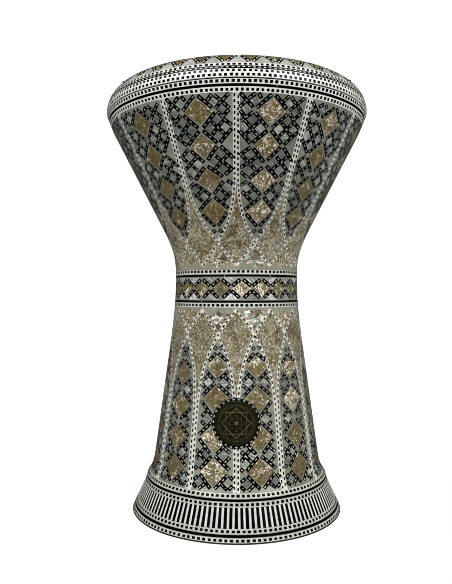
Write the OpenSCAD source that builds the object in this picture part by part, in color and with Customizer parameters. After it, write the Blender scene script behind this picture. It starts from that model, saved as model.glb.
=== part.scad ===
// Goblet hand drum: a hollow cast aluminium shell under an inlaid skin, a film head on a
// bearing edge, and a rounded clamping ring drawn down by six socket screws.
// Z runs up the axis, the foot stands on z = 0, and the medallion faces -Y.

/* [Shell profile] */
// Radius of the neck at its narrowest (mm)
waist_r = 66.5; // [65:0.1:68]
// Widening of the bowl, mm of radius for each mm of height
bowl_slope = 0.517; // [0.513:0.001:0.52]
// Height at which the bowl's cone line meets the neck line (mm)
bowl_z = 276; // [274:0.5:278]
// Widening of the stem towards the foot, mm for each mm
stem_slope = 0.14; // [0.12:0.005:0.16]
// Extra widening of the foot flare, mm for each mm
flare_slope = 0.325; // [0.3:0.005:0.4]
// Height at which the foot flare starts (mm)
flare_z = 49; // [47:0.5:52]
// Swell of the bead over the foot (mm)
bead_h = 1.4; // [0.8:0.1:1.8]
// Thickness of the casting, measured level (mm)
wall_t = 4.6; // [4:0.1:5.5]
// Thickness of the inlay layer, measured level (mm)
inlay_t = 1.2; // [0.8:0.1:1.5]

/* [Head and clamping ring] */
// Height of the joint between the shell and the clamping ring (mm)
seam_z = 424; // [424:0.1:424.4]
// Open joint under the clamping ring when the head is tuned (mm)
seam_gap = 0.8; // [0.7:0.1:1]
// Highest point of the clamping ring (mm)
top_z = 452; // [451.5:0.1:453]
// Radius of the crest of the bearing edge (mm)
edge_r = 107; // [106:0.5:107.5]
// Height of the crest of the bearing edge (mm)
edge_z = 450; // [449.5:0.1:450.2]
// Thickness of the film (mm)
film_t = 0.25; // [0.2:0.05:0.3]
// Radius of the circle the tension screws stand on (mm)
screw_pcr = 127.5; // [127:0.1:128]
// Number of tension screws
screw_n = 6; // [6:1:6]

/* [Inlay] */
// Width of one dotted strip (mm)
strip_w = 3.4; // [3:0.1:3.8]
// Width of a chain strip (mm)
chain_w = 2.2; // [1.8:0.1:2.6]
// Open joint between neighbouring plates (mm)
grout = 0.1; // [0.05:0.01:0.2]
// Number of ribs round the drum
rib_n = 12; // [12:1:12]
// Number of diamonds round the waist
waist_n = 20; // [18:1:22]
// Number of diamonds round the clamping ring
rim_n = 38; // [34:1:40]
// Number of dark flutes round the foot
flute_n = 125; // [110:1:130]
// Radius of the medallion (mm)
medal_r = 21.2; // [18:0.1:21.5]

/* [Hidden] */
$fn = 96;

white = [0.88, 0.88, 0.84];
black = [0.03, 0.03, 0.03];
pearl = [0.49, 0.49, 0.46];
shell_tan = [0.58, 0.50, 0.38];
crushed = [0.56, 0.53, 0.44];
bronze = [0.20, 0.18, 0.08];
metal = [0.72, 0.72, 0.73];
film_white = [0.93, 0.93, 0.9, 0.9];

// ---- outer surface: a waist, two straight cones blended into it, a foot flare, a bead,
// and a shoulder that rounds over under the clamping ring
stem_z = 225;  // height at which the stem's cone line meets the neck line
bowl_blend = 8.4;  // the larger a blend, the softer the bend
stem_blend = 15;
flare_blend = 3;
bead_z = 37.8;
bead_spread = 4;
shoulder_z = 406;
shoulder_h = 18;
shoulder_in = 2.05;  // inward turn at shoulder_h above shoulder_z
collar_z = 424.4;  // top of the profile

// 0 below x = 0 and x above it, with a soft bend between
function soft(x, blend) = blend * ln(1 + exp(x / blend));
function profile(z) = waist_r
  + bowl_slope * soft(z - bowl_z, bowl_blend)
  + stem_slope * soft(stem_z - z, stem_blend)
  + flare_slope * soft(flare_z - z, flare_blend)
  + bead_h * exp(-pow((z - bead_z) / bead_spread, 2))
  - (z > shoulder_z ? shoulder_in * pow((z - shoulder_z) / shoulder_h, 1.5) : 0);

// heights at which the profile is sampled; it runs straight between them
ring_zs = concat([0, 12.5, 22, 29.6], [for (z = [33:3:57]) z], [66, 96, 126, 156, 186],
  [for (z = [200:12:248]) z], [for (z = [256:6:304]) z],
  [330, shoulder_z, 410, 414, 418, 421, collar_z]);
profile_table = [for (z = ring_zs) [z, profile(z)]];
function face_r(z) = lookup(z, profile_table);
function stations(z0, z1) =
  concat([z0], [for (z = ring_zs) if (z > z0 + 0.01 && z < z1 - 0.01) z], [z1]);

// ring of the inlay layer between two heights; out and in push its faces outward and inward
module skin(z0, z1, out = 0, in = 0) {
  zs = stations(z0, z1);
  rotate_extrude() polygon(concat(
    [for (z = zs) [face_r(z) + out, z]],
    [for (i = [len(zs) - 1:-1:0]) [face_r(zs[i]) - inlay_t - in, zs[i]]]));
}

// prism that cuts the layer level from radius r0 outward, at an angle from the front;
// its outline is drawn as [sideways, height]
cut_r = 165;
module cutter(angle, r0) rotate([0, 0, angle]) translate([0, -r0, 0]) rotate([90, 0, 0])
  linear_extrude(cut_r - r0) children();
module diamond(half_w, half_h, z)
  polygon([[0, z - half_h], [half_w, z], [0, z + half_h], [-half_w, z]]);

// ---- edges of the bands, foot to head; _b is a bottom and _t a top
foot_strip_b = 1.2;
foot_strip_t = 5.1;
flare_band_t = 8.1;
flare_low_t = 12.5;
flute_t = 29.6;
flare_up_t = 34.2;
bead_t = 37.2;
stem_b = 41.6;
stem_panel_t = 188;
low_triangle_b = 194.4;
stem_t = 218.7;
waist_low_strip_t = 223.4;
waist_low_band_t = 226.2;
waist_field_t = 249.7;
waist_up_band_t = 252.5;
bowl_b = 257;
up_triangle_t = 281;
bowl_panel_b = 286.4;
bowl_t = 412.3;
border_t = 417;
collar_band_t = 419.2;
shell_top = seam_z - seam_gap / 2;

// ---- ribs: two strips side by side that part, cross their neighbours and close under the
// next rib
rib_pitch = 360 / rib_n;
strip_half = strip_w / 2;
rib_cut_r = 56;
tip_half = 0.01;  // half width of the blunted point of an outline
slim_share = 0.16;  // share of width the strips lose where they part and cross
bowl_part_z = 332;
bowl_close_z = 261;
stem_part_z = 132;
stem_close_z = 217;
// paths: [height where the strips part, height where they close, power of the curve]
bowl_path = [bowl_part_z, bowl_close_z, 1.8];
stem_path = [stem_part_z, stem_close_z, 1.93];

// share of the way from parting to closing
function rise(z, path) = max(0, min(1, (path[0] - z) / (path[0] - path[1])));
// sideways distance of a strip's centre from its own rib, before and after the crossing fold
function part_x(z, path) =
  strip_half + (face_r(z) * sin(rib_pitch) - strip_half) * pow(rise(z, path), path[2]);
function fold_x(z, path) =
  let (angle = asin(min(0.9, part_x(z, path) / face_r(z))))
  face_r(z) * sin(min(angle, rib_pitch - angle));
function slim(z, path) = 1 - slim_share * min(1, 2 * rise(z, path));
// line at a distance off from the strip's centre line, measured square to its slope
function edge_x(z, off, path) =
  let (step = 0.6, slope = (fold_x(z + step, path) - fold_x(z - step, path)) / (2 * step))
  fold_x(z, path) + off * slim(z, path) * sqrt(1 + slope * slope);

// outline of one teardrop between z0 and z1 in n steps, off away from the strip's centre
// line, with extra right-hand corners below and above it
module tear(off, z0, z1, n, path, below = [], above = []) {
  zs = [for (i = [0:n]) z0 + (z1 - z0) * i / n];
  side = concat(below, [for (z = zs) [edge_x(z, off, path), z]], above);
  polygon(concat(side, [for (i = [len(side) - 1:-1:0]) [-side[i][0], side[i][1]]]));
}
module at_ribs() for (i = [0:rib_n - 1]) cutter(i * rib_pitch, rib_cut_r) children();

// outer: everything within the strips' outer edges; inner: the opening between them
module bowl_outer(off) at_ribs()
  tear(off, bowl_close_z + 1, bowl_part_z - 8, 10, bowl_path,
    below = [[tip_half, bowl_close_z - off * 1.5]],
    above = [[strip_half + off, bowl_part_z], [strip_half + off, bowl_t + 2]]);
module bowl_inner(off) at_ribs()
  tear(-off, bowl_close_z + off + 1.4, bowl_part_z - 10, 9, bowl_path);
module stem_outer(off) at_ribs()
  tear(off, stem_part_z + 9, stem_close_z - 1, 10, stem_path,
    below = [[strip_half + off, stem_b - 1], [strip_half + off, stem_part_z]],
    above = [[tip_half, stem_close_z + off * 1.6 + 1]]);
module stem_inner(off) at_ribs()
  tear(-off, stem_part_z + 12, stem_close_z - off - 1.6, 9, stem_path);

// ---- large diamonds midway between the ribs: [height, half width, half height,
// reach of the frame's slice of layer below that height, reach above it]
bowl_rows = [
  [398.3, 14, 10.3, 14, 15],
  [370.5, 12.6, 10.2, 14, 15],
  [341.2, 12.9, 10.4, 14, 15],
  [313, 13.4, 11.2, 15, 15]];
stem_rows = [
  [160.2, 10.5, 11.2, 16, 16],
  [128.5, 12.5, 12.6, 16, 16],
  [91.3, 12.9, 12.4, 16, 16],
  [59.5, 13, 12.6, 16, 16]];
diamond_cut_r = 64;
plate_reach = 13;
// growth of the half width and half height for each mm of frame
grow_w = 1.45;
grow_h = 1.3;
module diamonds(rows, frame) for (i = [0:rib_n - 1], row = rows)
  cutter(rib_pitch / 2 + i * rib_pitch, diamond_cut_r)
    diamond(row[1] + frame * grow_w, row[2] + frame * grow_h, row[0]);
module framed_diamonds(rows) for (row = rows) intersection() {
  skin(row[0] - row[3], row[0] + row[4]);
  diamonds([row], chain_w - grout);
}
module plain_diamonds(rows) for (row = rows) intersection() {
  skin(row[0] - plate_reach, row[0] + plate_reach);
  diamonds([row], 0);
}

// ---- small diamonds round the waist
waist_m = (waist_field_t + waist_low_band_t) / 2;
waist_half_w = face_r(waist_m) * sin(180 / waist_n) - 1;
waist_half_h = (waist_field_t - waist_low_band_t) / 2 - 0.8;
waist_start = 4.7;  // angle of the first diamond from the front
waist_frame = chain_w * 1.42;
module waist_cuts(inset) for (i = [0:waist_n - 1])
  cutter(waist_start + i * 360 / waist_n, rib_cut_r)
    diamond(waist_half_w - inset, waist_half_h - inset, waist_m);

// ---- flutes round the foot
flute_w = 3.14159 * face_r(22) / flute_n;
flute_out_r = 130;
flute_depth = 44;
module flutes(width) for (i = [0:flute_n - 1]) rotate([0, 0, i * 360 / flute_n])
  translate([-width / 2, -flute_out_r, flare_low_t - 1])
    cube([width, flute_depth, flute_t - flare_low_t + 2]);

// ---- medallion on the front of the stem
medal_z = 106;
medal_out = medal_r + 3.1;  // outside of its chain ring
medal_reach = 24;  // half height of the slice of layer it is cut from
medal_lip_w = 1.2;
medal_plate_out = 0.3;
medal_relief = 0.8;  // stand of the lip and star over the layer
module medal_cut(r) translate([0, 0, medal_z]) rotate([90, 0, 0]) cylinder(r = r, h = 110);
module star(n, tip_r, notch_r) polygon([for (i = [0:2 * n - 1])
  let (r = i % 2 == 0 ? tip_r : notch_r, angle = i * 180 / n)
  [r * sin(angle), medal_z + r * cos(angle)]]);
module medal_relief_layer()
  skin(medal_z - medal_reach, medal_z + medal_reach, medal_relief, -inlay_t);

// ---- head, hoop and screws
core_gap = 0.02;  // clearance between a casting and its inlay
hoop_r0 = edge_r + 3.15;
hoop_r1 = edge_r + 8.6;
hoop_z0 = edge_z - 16;
seat_z = edge_z - 9;  // where the clamping ring bears on the hoop
washer_t = 0.9;
head_bore_z = seat_z - 1;  // floor of the screw heads' counterbores
head_bore_r = 5.6;
head_z = head_bore_z + washer_t;
screw_hole_r = 3.3;
module at_screw(i, z = 0)
  rotate([0, 0, (i + 0.5) * 360 / screw_n]) translate([screw_pcr, 0, z]) children();
module screws(r, h, z) for (i = [0:screw_n - 1]) at_screw(i, z) cylinder(r = r, h = h);

// ---- clamping ring: its outer side is a quarter ellipse, the crown
crown_r = 115;
crown_w = face_r(collar_z) + 0.4 - crown_r;
crown_z = seam_z + 2.4;
ring_b = seam_z + seam_gap / 2;
bore_r = edge_r + 4.6;
bore_round = crown_r - bore_r;
// point of the crown at an angle above level, depth below its surface
function crown(angle, depth) = [
  crown_r + (crown_w - depth) * cos(angle),
  crown_z + (top_z - crown_z - depth) * sin(angle)];
function crown_angle(z) = asin(max(0, min(1, (z - crown_z) / (top_z - crown_z))));
low_a = 8;
chain_a0 = crown_angle(432);
chain_a1 = crown_angle(434.9);
field_a0 = 27;  // the mosaic's lower and upper edges
field_a1 = 86;
// angles at which the crown is sampled, shared by the casting and its inlay
crown_angles = concat([0, low_a, chain_a0, chain_a1],
  [for (i = [0:6]) field_a0 + (field_a1 - field_a0) * i / 6], [88]);
// ring of the inlay over the crown between two of those angles
module crown_band(a0, a1) {
  angles = [for (a = crown_angles) if (a > a0 - 0.01 && a < a1 + 0.01) a];
  rotate_extrude() polygon(concat(
    [for (a = angles) crown(a, 0)],
    [for (i = [len(angles) - 1:-1:0]) crown(angles[i], inlay_t)]));
}

// diamonds of the mosaic, cut straight down; its edges are measured out from crown_r
field_in = 1.5;
field_out = crown_w * cos(field_a0);
rim_half_w = 125 * sin(180 / rim_n) - 1.2;
rim_half_l = (field_out - field_in) / 2 - 0.8;
rim_joint = 0.15;
rim_start = 5.4;  // angle of the first diamond from the front
module rim_cuts(inset) for (i = [0:rim_n - 1]) rotate([0, 0, rim_start + i * 360 / rim_n])
  translate([0, -(crown_r + (field_out + field_in) / 2), crown_z])
    linear_extrude(40) diamond(rim_half_w - inset, rim_half_l - inset, 0);

// ================= shell =================
module shell_casting() color(black) {
  zs = stations(foot_strip_b, shell_top - 0.1);
  last = len(zs) - 1;
  lining = inlay_t + wall_t;
  lip_r = 2.5;  // rounding of the bearing edge
  lip_z = edge_z - lip_r;
  flange_b = seam_z - 11.5;
  difference() {
    union() {
      rotate_extrude() polygon(concat(
        // foot and outside
        [[face_r(0) - lining - 1.6, 0], [face_r(0), 0]],
        [[face_r(foot_strip_b), foot_strip_b - core_gap]],
        [for (z = zs) [face_r(z) - inlay_t - core_gap, z]],
        // bearing edge
        [[edge_r + lip_r, shell_top - 0.1], [edge_r + lip_r, lip_z]],
        [for (a = [15:15:165]) [edge_r + lip_r * cos(a), lip_z + lip_r * sin(a)]],
        [[edge_r - lip_r, lip_z], [edge_r - lip_r, flange_b + 1]],
        // underside of the flange and inside
        [[edge_r - 1.5, flange_b], [face_r(flange_b - 3) - lining - 3, flange_b]],
        [[face_r(flange_b - 6) - lining, flange_b - 6]],
        [for (i = [last:-1:0]) if (zs[i] < flange_b - 7 && zs[i] > 5)
          [face_r(zs[i]) - lining, zs[i]]]));
      // bosses that hold the screws, hanging inside the flange
      intersection() {
        screws(6.8, 19, seam_z - 19.6);
        rotate_extrude() polygon(concat(
          [[edge_r, seam_z - 25], [edge_r, shell_top - 0.1]],
          [for (i = [last:-1:0]) if (zs[i] > seam_z - 26)
            [face_r(zs[i]) - inlay_t - core_gap, zs[i]]]));
      }
    }
    screws(3.05, 60, seam_z - 16.5);
  }
}
module collar_dotted_strip() color(white) skin(collar_band_t, shell_top);
module collar_black_band() color(black) skin(border_t, collar_band_t);
module bowl_border_strip() color(white) skin(bowl_t, border_t);

module bowl_pearl_panels() color(pearl) difference() {
  skin(bowl_panel_b, bowl_t);
  bowl_outer(strip_half + grout);
  diamonds(bowl_rows, chain_w);
}
module bowl_chain_frames() color(black) difference() {
  framed_diamonds(bowl_rows);
  diamonds(bowl_rows, grout);
  bowl_outer(strip_half + grout);
}
module bowl_shell_diamonds() color(shell_tan) difference() {
  plain_diamonds(bowl_rows);
  bowl_outer(strip_half + grout);
}
module bowl_rib_strips() color(white) difference() {
  intersection() {
    skin(bowl_b, bowl_t);
    bowl_outer(strip_half);
  }
  bowl_inner(strip_half);
}
module bowl_teardrops() color(crushed) intersection() {
  skin(bowl_b, bowl_part_z);
  bowl_inner(strip_half + grout);
}
module neck_upper_triangles() color(pearl) difference() {
  skin(bowl_b, up_triangle_t);
  bowl_outer(strip_half + grout);
}

module waist_upper_dotted_strip() color(white) skin(waist_up_band_t, bowl_b);
module waist_upper_black_band() color(black) skin(waist_field_t, waist_up_band_t);
module waist_pearl_band() color(pearl) difference() {
  skin(waist_low_band_t, waist_field_t);
  waist_cuts(0);
}
module waist_chain_frames() color(black) difference() {
  intersection() {
    skin(waist_low_band_t, waist_field_t);
    waist_cuts(grout);
  }
  waist_cuts(waist_frame);
}
module waist_shell_diamonds() color(shell_tan) intersection() {
  skin(waist_low_band_t, waist_field_t);
  waist_cuts(waist_frame + grout);
}
module waist_lower_black_band() color(black) skin(waist_low_strip_t, waist_low_band_t);
module waist_lower_dotted_strip() color(white) skin(stem_t, waist_low_strip_t);

module neck_lower_triangles() color(pearl) difference() {
  skin(low_triangle_b, stem_t);
  stem_outer(strip_half + grout);
}
module stem_teardrops() color(crushed) intersection() {
  skin(stem_part_z, stem_t);
  stem_inner(strip_half + grout);
}
module stem_pearl_panels() color(pearl) difference() {
  skin(stem_b, stem_panel_t);
  stem_outer(strip_half + grout);
  diamonds(stem_rows, chain_w);
  medal_cut(medal_out + grout);
}
module stem_chain_frames() color(black) difference() {
  framed_diamonds(stem_rows);
  diamonds(stem_rows, grout);
  stem_outer(strip_half + grout);
  medal_cut(medal_out + grout);
}
module stem_shell_diamonds() color(shell_tan) difference() {
  plain_diamonds(stem_rows);
  stem_outer(strip_half + grout);
  medal_cut(medal_out + grout);
}
module stem_rib_strips() color(white) difference() {
  intersection() {
    skin(stem_b, stem_t);
    stem_outer(strip_half);
  }
  stem_inner(strip_half);
  medal_cut(medal_out + grout);
}
module stem_border_strip() color(white) skin(bead_t, stem_b);
module bead_black_band() color(black) skin(flare_up_t, bead_t);
module flare_upper_dotted_strip() color(white) skin(flute_t, flare_up_t);
module flare_black_flutes() color(black) intersection() {
  skin(flare_low_t, flute_t);
  flutes(flute_w);
}
module flare_white_flutes() color(white) difference() {
  skin(flare_low_t, flute_t);
  flutes(flute_w + grout);
}
module flare_lower_dotted_strip() color(white) skin(flare_band_t, flare_low_t);
module flare_black_band() color(black) skin(foot_strip_t, flare_band_t);
module foot_dotted_strip() color(white) skin(foot_strip_b, foot_strip_t);

// curved plate with a raised lip and an eight-pointed star
module medallion_disc() color(bronze) union() {
  intersection() {
    skin(medal_z - medal_reach, medal_z + medal_reach, medal_plate_out);
    medal_cut(medal_r);
  }
  intersection() {
    medal_relief_layer();
    difference() {
      medal_cut(medal_r);
      medal_cut(medal_r - medal_lip_w);
    }
  }
  intersection() {
    medal_relief_layer();
    cutter(0, 60) star(n = 8, tip_r = 14, notch_r = 8.5);
  }
}
module medallion_chain_ring() color(black) intersection() {
  skin(medal_z - medal_reach - 2, medal_z + medal_reach + 2);
  difference() {
    medal_cut(medal_out);
    medal_cut(medal_r + grout);
  }
}

// ================= head =================
// flat film with a bevelled corner and a skirt hanging outside the bearing edge
module head_film() color(film_white) rotate_extrude() {
  skirt_r = edge_r + 2.72;
  skirt_b = edge_z - 14;
  under_z = edge_z + 0.02;
  polygon([
    [0, under_z], [edge_r + 1.2, under_z], [skirt_r, edge_z - 1.6], [skirt_r, skirt_b],
    [skirt_r + film_t, skirt_b], [skirt_r + film_t, edge_z - 1.5],
    [edge_r + 1.31, under_z + film_t], [0, under_z + film_t]]);
}
module flesh_hoop() color(metal) rotate_extrude() translate([hoop_r0, hoop_z0])
  square([hoop_r1 - hoop_r0, seat_z - hoop_z0]);

// ================= clamping ring =================
module clamp_ring_casting() color(black) {
  recess_r = hoop_r1 + 0.6;
  difference() {
    rotate_extrude() polygon(concat(
      [[recess_r, ring_b], [crown(0, inlay_t)[0] - core_gap, ring_b]],
      [for (a = crown_angles) crown(a, inlay_t + core_gap)],
      [for (a = [90:15:180])
        [crown_r + bore_round * cos(a), top_z - bore_round + bore_round * sin(a)]],
      [[bore_r, seat_z], [recess_r, seat_z]]));
    // hollow underside between the screw bosses
    difference() {
      rotate_extrude() translate([hoop_r1 + 4, ring_b - 1]) square([16, 13]);
      screws(7.5, 20, ring_b - 2);
    }
    screws(screw_hole_r, 40, ring_b - 1);
    screws(head_bore_r, 20, head_bore_z);
  }
}
module rim_pearl_band() color(white) difference() {
  crown_band(field_a0, field_a1);
  rim_cuts(0);
  screws(head_bore_r, 40, crown_z);
}
module rim_shell_diamonds() color(shell_tan) difference() {
  intersection() {
    crown_band(field_a0, field_a1);
    rim_cuts(rim_joint);
  }
  screws(head_bore_r, 40, crown_z);
}
module rim_upper_dotted_strip() color(white) crown_band(chain_a1, field_a0);
module rim_chain_strip() color(black) crown_band(chain_a0, chain_a1);
module rim_lower_dotted_strips() color(white) rotate_extrude() polygon([
  [crown(0, 0)[0], ring_b], crown(0, 0), crown(low_a, 0), crown(chain_a0, 0),
  crown(chain_a0, inlay_t), crown(low_a, inlay_t), crown(0, inlay_t),
  [crown(0, inlay_t)[0], ring_b]]);

module screw_washers() color(metal) for (i = [0:screw_n - 1]) at_screw(i, head_bore_z)
  difference() {
    cylinder(r = 5.4, h = washer_t);
    translate([0, 0, -1]) cylinder(r = screw_hole_r, h = 3);
  }
// shank and head with a hexagonal socket; k counts from 1
module tension_screw(k) color(metal) at_screw(k - 1) difference() {
  shank_l = 30;
  union() {
    translate([0, 0, head_z - shank_l]) cylinder(r = 3, h = shank_l + 0.1);
    translate([0, 0, head_z]) cylinder(r = 5, h = 6);
  }
  translate([0, 0, head_z + 3]) cylinder(r = 2.5 / cos(30), h = 4, $fn = 6);
}

shell_casting();
collar_dotted_strip();
collar_black_band();
bowl_border_strip();
bowl_pearl_panels();
bowl_chain_frames();
bowl_shell_diamonds();
bowl_rib_strips();
bowl_teardrops();
neck_upper_triangles();
waist_upper_dotted_strip();
waist_upper_black_band();
waist_pearl_band();
waist_chain_frames();
waist_shell_diamonds();
waist_lower_black_band();
waist_lower_dotted_strip();
neck_lower_triangles();
stem_teardrops();
stem_pearl_panels();
stem_chain_frames();
stem_shell_diamonds();
stem_rib_strips();
stem_border_strip();
bead_black_band();
flare_upper_dotted_strip();
flare_white_flutes();
flare_black_flutes();
flare_lower_dotted_strip();
flare_black_band();
foot_dotted_strip();
medallion_disc();
medallion_chain_ring();
head_film();
flesh_hoop();
clamp_ring_casting();
rim_pearl_band();
rim_shell_diamonds();
rim_upper_dotted_strip();
rim_chain_strip();
rim_lower_dotted_strips();
screw_washers();
tension_screw(1);  // tension_screw_1
tension_screw(2);  // tension_screw_2
tension_screw(3);  // tension_screw_3
tension_screw(4);  // tension_screw_4
tension_screw(5);  // tension_screw_5
tension_screw(6);  // tension_screw_6
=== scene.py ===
"""A goblet drum inlaid with shell and pearl, standing on its foot.

Its axis is +Z and the floor is z = 0. The medallion on the stem faces -Y, towards the camera.
Sizes are in mm and degrees unless noted. A bearing is an angle round the axis, from -Y
towards +X, so that from the front it grows to the right.
"""
import math
from functools import lru_cache

import bpy
import numpy as np
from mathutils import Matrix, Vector


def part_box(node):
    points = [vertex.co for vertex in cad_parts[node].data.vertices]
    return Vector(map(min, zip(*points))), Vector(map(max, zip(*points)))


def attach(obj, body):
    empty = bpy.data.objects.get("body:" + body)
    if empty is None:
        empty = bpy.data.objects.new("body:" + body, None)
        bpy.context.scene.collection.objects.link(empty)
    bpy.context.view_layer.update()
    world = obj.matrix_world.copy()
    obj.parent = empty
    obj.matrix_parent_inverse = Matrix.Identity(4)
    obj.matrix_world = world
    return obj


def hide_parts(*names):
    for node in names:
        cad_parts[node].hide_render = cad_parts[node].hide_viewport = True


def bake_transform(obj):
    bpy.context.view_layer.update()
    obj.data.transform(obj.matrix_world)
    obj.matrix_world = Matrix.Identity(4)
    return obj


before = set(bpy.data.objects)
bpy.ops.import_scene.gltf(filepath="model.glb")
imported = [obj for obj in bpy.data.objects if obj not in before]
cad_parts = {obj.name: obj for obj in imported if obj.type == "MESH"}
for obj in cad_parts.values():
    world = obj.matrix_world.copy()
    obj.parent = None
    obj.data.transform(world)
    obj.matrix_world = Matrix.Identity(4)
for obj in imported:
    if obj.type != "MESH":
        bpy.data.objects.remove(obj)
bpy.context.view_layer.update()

MM = 0.001
DEG = math.pi / 180
rng = np.random.RandomState(20)

# Tops of the inlay, as distances out from the surface
FIELD, TEARDROP, SQUARE, FLUSH = -0.07, -0.05, -0.03, 0.0
CHAIN, DOT, DASH = 0.03, 0.045, 0.075
# Undersides: of grounds and rings, of plates set in a ground, of dots and small marks
BACK, SET, MARK_BACK = -1.1, -0.6, -0.5

JOINT = 0.06            # open joint kept at the edge of a ring or field
SECTORS = 12            # ribs, panels and teardrops round the drum
SECTOR = 30             # bearing from one to the next
MEDALLION_Z = 106.0
BOWL_CROSSING, STEM_CROSSING = 284.4, 191.8  # levels where neighbouring rib strips cross
BOWL_APEX, STEM_APEX = 261.0, 217.0          # levels where a rib's two strips meet the next ribs'
RIM_PLATES, RIM_START = 38, 5.4              # plates on the clamping ring, bearing of the first


# ------------------------------------------------------------------ outer surfaces
def soft(x, width):
    """Zero below 0 and x above it, with the corner rounded over width."""
    return width * np.log1p(np.exp(np.asarray(x, float) / width))


def profile(z):
    """Radius of the shell at a height."""
    z = np.asarray(z, float)
    return (66.5                                          # narrowest part
            + 0.517 * soft(z - 276, 8.4)                  # bowl
            + 0.14 * soft(225 - z, 15)                    # stem
            + 0.325 * soft(49 - z, 3)                     # flare of the foot
            + 1.4 * np.exp(-((z - 37.8) / 4) ** 2)        # bead above the flare
            - 2.05 * (np.maximum(z - 406, 0) / 18) ** 1.5)  # turn-in under the clamping ring


class Surface:
    """A surface of revolution of one moving part. A level names a place on its outline."""

    def __init__(self, part, level, radius, height):
        self.part, self.level, self.radius, self.height = part, level, radius, height
        radius_slope, height_slope = np.gradient(radius, level), np.gradient(height, level)
        length = np.hypot(radius_slope, height_slope)
        self.normal_r, self.normal_z = height_slope / length, -radius_slope / length
        steps = np.hypot(np.diff(radius), np.diff(height))
        self.distance = np.concatenate([[0], np.cumsum(steps)])

    def radius_at(self, level):
        return np.interp(level, self.level, self.radius)

    def along(self, level):
        """Distance up the outline to a level."""
        return np.interp(level, self.level, self.distance)

    def level_at(self, distance):
        return np.interp(distance, self.distance, self.level)

    def arc(self, degrees, level):
        """Length round the surface of an angle."""
        return degrees * DEG * self.radius_at(level)

    def turn(self, length, level):
        """Angle taken up by a length round the surface."""
        return length / (DEG * self.radius_at(level))

    def point(self, bearing, level, off):
        """Places off mm out along the normal."""
        radius = self.radius_at(level) + off * np.interp(level, self.level, self.normal_r)
        height = (np.interp(level, self.level, self.height)
                  + off * np.interp(level, self.level, self.normal_z))
        angle = np.asarray(bearing) * DEG
        return np.stack([radius * np.sin(angle), -radius * np.cos(angle), height + 0 * angle], -1)


# On the shell a level is a height
BODY_TOP = 424.4
body_z = np.linspace(0, BODY_TOP, 2200)
BODY = Surface("shell", body_z, profile(body_z), body_z)

# On the clamping ring a level is an angle up its quarter ellipse; its side below 0 is upright
CROWN_RADIUS, CROWN_Z, CROWN_HEIGHT = 115.0, 426.4, 25.6
CROWN_WIDTH = float(profile(BODY_TOP)) + 0.4 - CROWN_RADIUS
side = np.linspace(-20, 0, 60)[:-1]
curve = np.linspace(0, 92, 1200)
CROWN = Surface("clamp_ring",
                np.concatenate([side, curve]),
                np.concatenate([np.full(len(side), CROWN_RADIUS + CROWN_WIDTH),
                                CROWN_RADIUS + CROWN_WIDTH * np.cos(curve * DEG)]),
                np.concatenate([CROWN_Z + side * 0.12,
                                CROWN_Z + CROWN_HEIGHT * np.sin(curve * DEG)]))


def crown_level(z):
    return float(np.interp(z, CROWN.height, CROWN.level))


def node_levels(node):
    """Lowest and highest z of a CAD node."""
    low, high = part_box(node)
    return low.z * 1000, high.z * 1000


def monotone_curve(points):
    """A smooth curve through (x, y) points that never overshoots them."""
    xs, ys = np.array(points, float).T
    if xs[0] > xs[-1]:
        xs, ys = xs[::-1], ys[::-1]
    gaps = np.diff(xs)
    rises = np.diff(ys) / gaps
    below, above = rises[:-1], rises[1:]
    slopes = np.zeros_like(ys)
    same = below * above > 0
    slopes[1:-1][same] = (2 * below * above / (below + above + 1e-30))[same]
    slopes[0], slopes[-1] = rises[0], rises[-1]

    def value(x):
        x = np.clip(np.asarray(x, float), xs[0], xs[-1])
        i = np.clip(np.searchsorted(xs, x) - 1, 0, len(gaps) - 1)
        t = (x - xs[i]) / gaps[i]
        return ((1 + 2 * t) * (1 - t) ** 2 * ys[i] + t * (1 - t) ** 2 * gaps[i] * slopes[i]
                + t * t * (3 - 2 * t) * ys[i + 1] + t * t * (t - 1) * gaps[i] * slopes[i + 1])
    return value


# ------------------------------------------------------------------ mesh building
def mesh_object(name, verts, faces, materials=()):
    """A linked object from vertices in metres."""
    mesh = bpy.data.meshes.new(name)
    mesh.from_pydata(verts, [], faces)
    for material in materials:
        mesh.materials.append(material)
    obj = bpy.data.objects.new(name, mesh)
    bpy.context.scene.collection.objects.link(obj)
    return obj


def smooth_shade(mesh, sharp):
    mesh.polygons.foreach_set("use_smooth", np.ones(len(mesh.polygons), bool))
    mesh.update()
    mesh.set_sharp_from_angle(angle=math.radians(sharp))


def inset(corners, gap):
    """A polygon drawn in by gap on every side."""
    normals = []
    for edges in (corners - np.roll(corners, 1, 0), np.roll(corners, -1, 0) - corners):
        edges = edges / np.linalg.norm(edges, axis=1)[:, None]
        normals.append(np.stack([-edges[:, 1], edges[:, 0]], 1))
    before, after = normals
    reach = gap / np.maximum(1 + (before * after).sum(1), 0.25)
    return corners + (before + after) * reach[:, None]


def bilinear(corners, u, w):
    u, w = u[..., None], w[..., None]
    return (corners[0] * (1 - u) * (1 - w) + corners[1] * u * (1 - w)
            + corners[2] * u * w + corners[3] * (1 - u) * w)


def sheet_faces(columns, rows):
    """Quads of a grid of points, and the loop of points round its edge."""
    width = columns + 1
    quads = [(j * width + i, j * width + i + 1, (j + 1) * width + i + 1, (j + 1) * width + i)
             for j in range(rows) for i in range(columns)]
    rim = (list(range(columns))
           + [columns + j * width for j in range(rows)]
           + [rows * width + i for i in range(columns, 0, -1)]
           + [j * width for j in range(rows, 0, -1)])
    return quads, rim


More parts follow.
